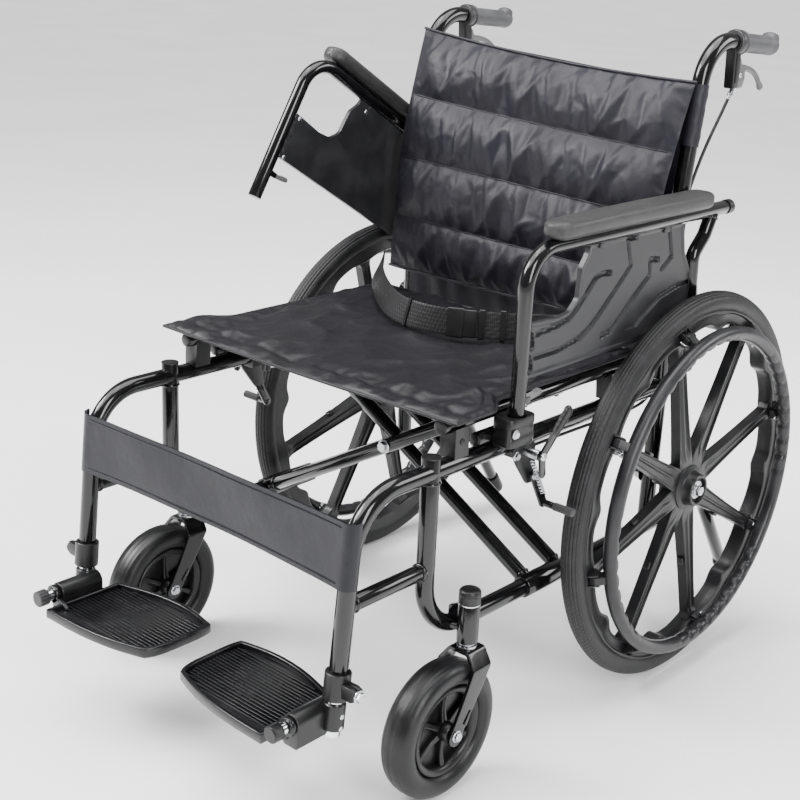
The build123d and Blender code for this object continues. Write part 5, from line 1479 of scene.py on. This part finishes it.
def seat():
    """The seat pad: front corners that stand out over the frame, a crowned top that dips in the middle, and
    a rounded front edge."""
    rows, columns = 90, 108
    v = np.linspace(0, 1, rows)[:, None]
    u = np.linspace(-1, 1, columns)[None]
    y = SEAT_FRONT_Y + SEAT_LONG * v - 3 * (1 - u**2) * (1 - v) ** 4
    ear = SEAT_EAR * (1 - smooth(v, 0.16, 0.27))
    x = (SEAT_HALF_W + ear) * u
    rim_u = np.clip((1 - np.abs(u)) / 0.07, 0, 1)
    rim_v = np.clip(np.minimum(v, 1 - v) / 0.045, 0, 1)
    round_off = np.sqrt(1 - (1 - rim_u) ** 2) * np.sqrt(1 - (1 - rim_v) ** 2)
    dip = 7.5 * np.cos(0.5 * np.pi * np.abs(u)) ** 1.5 * (0.5 + 0.5 * np.sin(np.pi * v))
    waves = (
        (1.7, 1.6, 0.9, 1.0), (3.6, -2.4, 0.2, 0.8), (2.3, 5.2, 1.4, 0.7), (6.1, 3.1, 2.2, 0.45),
        (3.4, -7.3, 0.7, 0.4),
    )
    crease = folds(2.4 * u, 2.6 * v, waves)
    hem = np.exp(-(((v - 0.075) / 0.012) ** 2)) + np.exp(-(((np.abs(u) - 0.93) / 0.012) ** 2)) * (v > 0.075)
    gathers = np.sin(37 * u + 3) + 0.7 * np.sin(61 * u) + 0.5 * np.sin(90 * u + 1)
    gathers = gathers * np.exp(-np.abs(v - 0.075) / 0.12)
    middle = SEAT_MIDDLE_Z - 0.5 * dip
    top = middle + round_off * (
        8.2 - 0.6 * dip + 4.4 * (crease - 1.5) + 0.7 * gathers - 3.4 * hem.clip(0, 1)
    )
    under = middle - round_off * 5.6
    front = np.stack(np.broadcast_arrays(x, y, top), -1)
    back = np.stack(np.broadcast_arrays(x, y, under), -1)
    shape, border = pillow(front, back)
    made = piece("seat_finish", shape, None, SEAT_NYLON, ("seat",), sharp=75)
    quilt = hem > 0.6
    pinned = np.concatenate([(border | quilt).ravel(), np.ones(len(shape.points) - rows * columns, bool)])
    settle(made, pinned, 0.8, 0.02, 0.004)
    swollen(made)
    span_rails(made)
    ring = np.vstack([front[0], front[1:, -1], front[-1, -2::-1], front[-2:0:-1, 0]])
    run = unit(np.roll(ring, -1, 0) - np.roll(ring, 1, 0))
    out = unit(np.cross(run, UP))
    cord = circle(10, 2.3)
    cord_rows = ring[:, None] + cord[None, :, :1] * out[:, None] + cord[None, :, 1:] * np.array([0, 0, 1.0])
    piping = piece("seat_piping", skin(cord_rows, ring=True), None, SEAT_NYLON)
    span_rails(piping)


def calf_strap():
    """A smooth band across the hangers, wrapped round them at each end and bowed back a little between
    them."""
    u = np.linspace(-1, 1, 120)
    v = np.linspace(0, 1, 26)
    z = STRAP_LOW_Z + STRAP_TALL * v[None] - 5 * (1 - u[:, None] ** 2) * (v[None] - 0.2)
    lean = -(TOP_Z - z) * LEG_LEAN
    bend, wrap_r = 0.93, TUBE_R + 1.7
    flat = np.abs(u) < bend
    wrap = np.clip((np.abs(u) - bend) / (1 - bend), 0, 1) * np.pi / 2
    x = np.where(flat, u / bend * FRAME_X, np.sign(u) * (FRAME_X + wrap_r * np.sin(wrap)))
    off = np.where(flat, 14.6 - 10 * (1 - (u / bend) ** 2).clip(0) ** 0.8, wrap_r * np.cos(wrap))
    ripple = 0.8 * np.sin(7 * u[:, None] + 3 * v[None]) * (1 - u[:, None] ** 2)
    y = HANGER_TOP_Y + lean - off[:, None] + ripple
    face = np.stack(np.broadcast_arrays(x[:, None], y, z), -1)
    inner = face + np.array([0, 2.0, 0])
    inner[..., 0] -= 1.2 * (np.sign(u) * ~flat)[:, None]
    rows = np.concatenate([face, inner[:, ::-1]], 1)
    band = piece("calf_strap_finish", skin(rows), None, VINYL, ("calf_strap",), sharp=50)
    narrow_in_fold(band)
    hems = [bar(face[6:-6, k] - (0, 0.3, 0), 1.0, UP, 8, 0.3) for k in (2, -3)]
    trim = piece("calf_strap_hems", together(hems), None, VINYL)
    narrow_in_fold(trim)


# parts of the buckle: first and last step along the belt, half width, half thickness
BUCKLE = (
    (79, 85, 22, 5.5), (84, 89, 20.6, 4.4), (89, 92, 22.5, 3.2), (97, 100, 23, 3.4), (63, 65, 22.5, 3.2),
)


def lap_belt():
    """Flat webbing on its edge in a loose loop in front of the back, with a two-part buckle near its right
    end."""
    bends = [
        (-250, -80, 568), (-244, -96, 562), (-222, -128, 554), (-146, -200, 552), (-58, -262, 551.5),
        (20, -266, 551), (90, -226, 551), (136, -192, 552), (206, -136, 555), (244, -98, 562),
        (250, -80, 568),
    ]
    path = spline(bends, BELT_STEPS)
    u = np.linspace(0, 1, BELT_STEPS)
    lean = 0.42 + 0.16 * np.sin(9 * u) + 0.07 * np.sin(23 * u)
    side = np.stack([0.04 * np.sin(13 * u), np.sin(lean), np.cos(lean)], -1)
    across = np.linspace(-1, 1, 22)
    grain = 0.18 * np.cos(np.pi * 7 * across)
    top = np.stack([BELT_HALF_W * across, 1.1 + grain - 0.5 * np.abs(across) ** 8], -1)
    low = np.stack([BELT_HALF_W * across, -1.1 - 0 * across], -1)[::-1]
    webbing = skin(carried(path, np.vstack([top, low]), side))
    belt = piece("lap_belt_finish", webbing, None, WEBBING, ("lap_belt",), sharp=50)
    span_rails(belt)
    parts = []
    for first, last, half_w, half_t in BUCKLE:
        outline = closed_outline(
            [(-half_w, -half_t), (half_w, -half_t), (half_w, half_t), (-half_w, half_t)], 2.2, 5
        )
        parts.append(skin(carried(path[first:last], outline, side[first:last])))
    buckle = piece("belt_buckle", together(parts), None, BLACK)
    span_rails(buckle)


side_frame()
fittings()
socket()
rear_wheels()
casters()
braces()
armrests()
footrests()
wheel_locks()
handles()
backrest()
sleeves()
seat()
calf_strap()
lap_belt()


# ---------------------------------------------------------------- studio
def studio():
    """A pale floor, soft lights and the camera."""
    floor_mesh = bpy.data.meshes.new("floor")
    size = 40.0
    floor_mesh.from_pydata(
        [(-size, -size, 0), (size, -size, 0), (size, size, 0), (-size, size, 0)], [], [(0, 1, 2, 3)]
    )
    pale = Finish("floor", Specular_IOR_Level=0.2)
    cloud = pale.step(pale.noise(1.5, 3), 0.3, 0.7)
    floor_mesh.materials.append(
        pale.feed(
            Base_Color=pale.colour(cloud, (0.89, 0.89, 0.89), (0.92, 0.92, 0.92)),
            Roughness=0.6 + 0.1 * cloud,
        )
    )
    floor = bpy.data.objects.new("floor", floor_mesh)
    bpy.context.scene.collection.objects.link(floor)

    world = bpy.data.worlds.new("studio")
    bpy.context.scene.world = world
    world.use_nodes = True
    world.node_tree.nodes["Background"].inputs["Color"].default_value = (1, 1, 1, 1)
    world.node_tree.nodes["Background"].inputs["Strength"].default_value = 0.3

    def lamp(name, place, size_xy, power, aim=(0, 0, 0.45)):
        data = bpy.data.lights.new(name, "AREA")
        data.shape = "RECTANGLE"
        data.size, data.size_y = size_xy
        data.energy = power
        made = bpy.data.objects.new(name, data)
        bpy.context.scene.collection.objects.link(made)
        made.location = place
        away = Vector(place) - Vector(aim)
        made.rotation_euler = away.to_track_quat("Z", "Y").to_euler()

    lamp("key", (-2.4, -2.2, 3.0), (1.6, 1.6), 250)
    lamp("fill", (3.0, -1.2, 2.0), (1.0, 2.2), 120)
    lamp("top", (0.2, 0.4, 3.4), (2.4, 2.4), 120)
    lamp("back", (2.2, 2.4, 2.2), (1.6, 1.2), 60)

    sun = bpy.data.lights.new("sky", "SUN")
    sun.energy = 4.2
    sun.angle = 0.9
    sky = bpy.data.objects.new("sky", sun)
    bpy.context.scene.collection.objects.link(sky)
    sky.rotation_euler = (0.35, -0.3, 0)

    camera = bpy.data.objects.new("camera", bpy.data.cameras.new("camera"))
    bpy.context.scene.collection.objects.link(camera)
    azimuth, rise, roll = np.radians((41.17, 19.0, 2.658))
    back = np.array([np.sin(azimuth) * np.cos(rise), -np.cos(azimuth) * np.cos(rise), np.sin(rise)])
    right = np.array([np.cos(azimuth), np.sin(azimuth), 0.0])
    up = np.cross(back, right)
    level_x = np.cos(roll) * right + np.sin(roll) * up
    level_y = np.cos(roll) * up - np.sin(roll) * right
    place = (1.29229, -1.54341, 1.10641)
    rows = np.column_stack([level_x, level_y, back, place]).tolist()
    camera.matrix_world = Matrix([*rows, [0, 0, 0, 1]])
    camera.data.sensor_width = 36.0
    camera.data.lens = 62.6
    bpy.context.scene.camera = camera


studio()
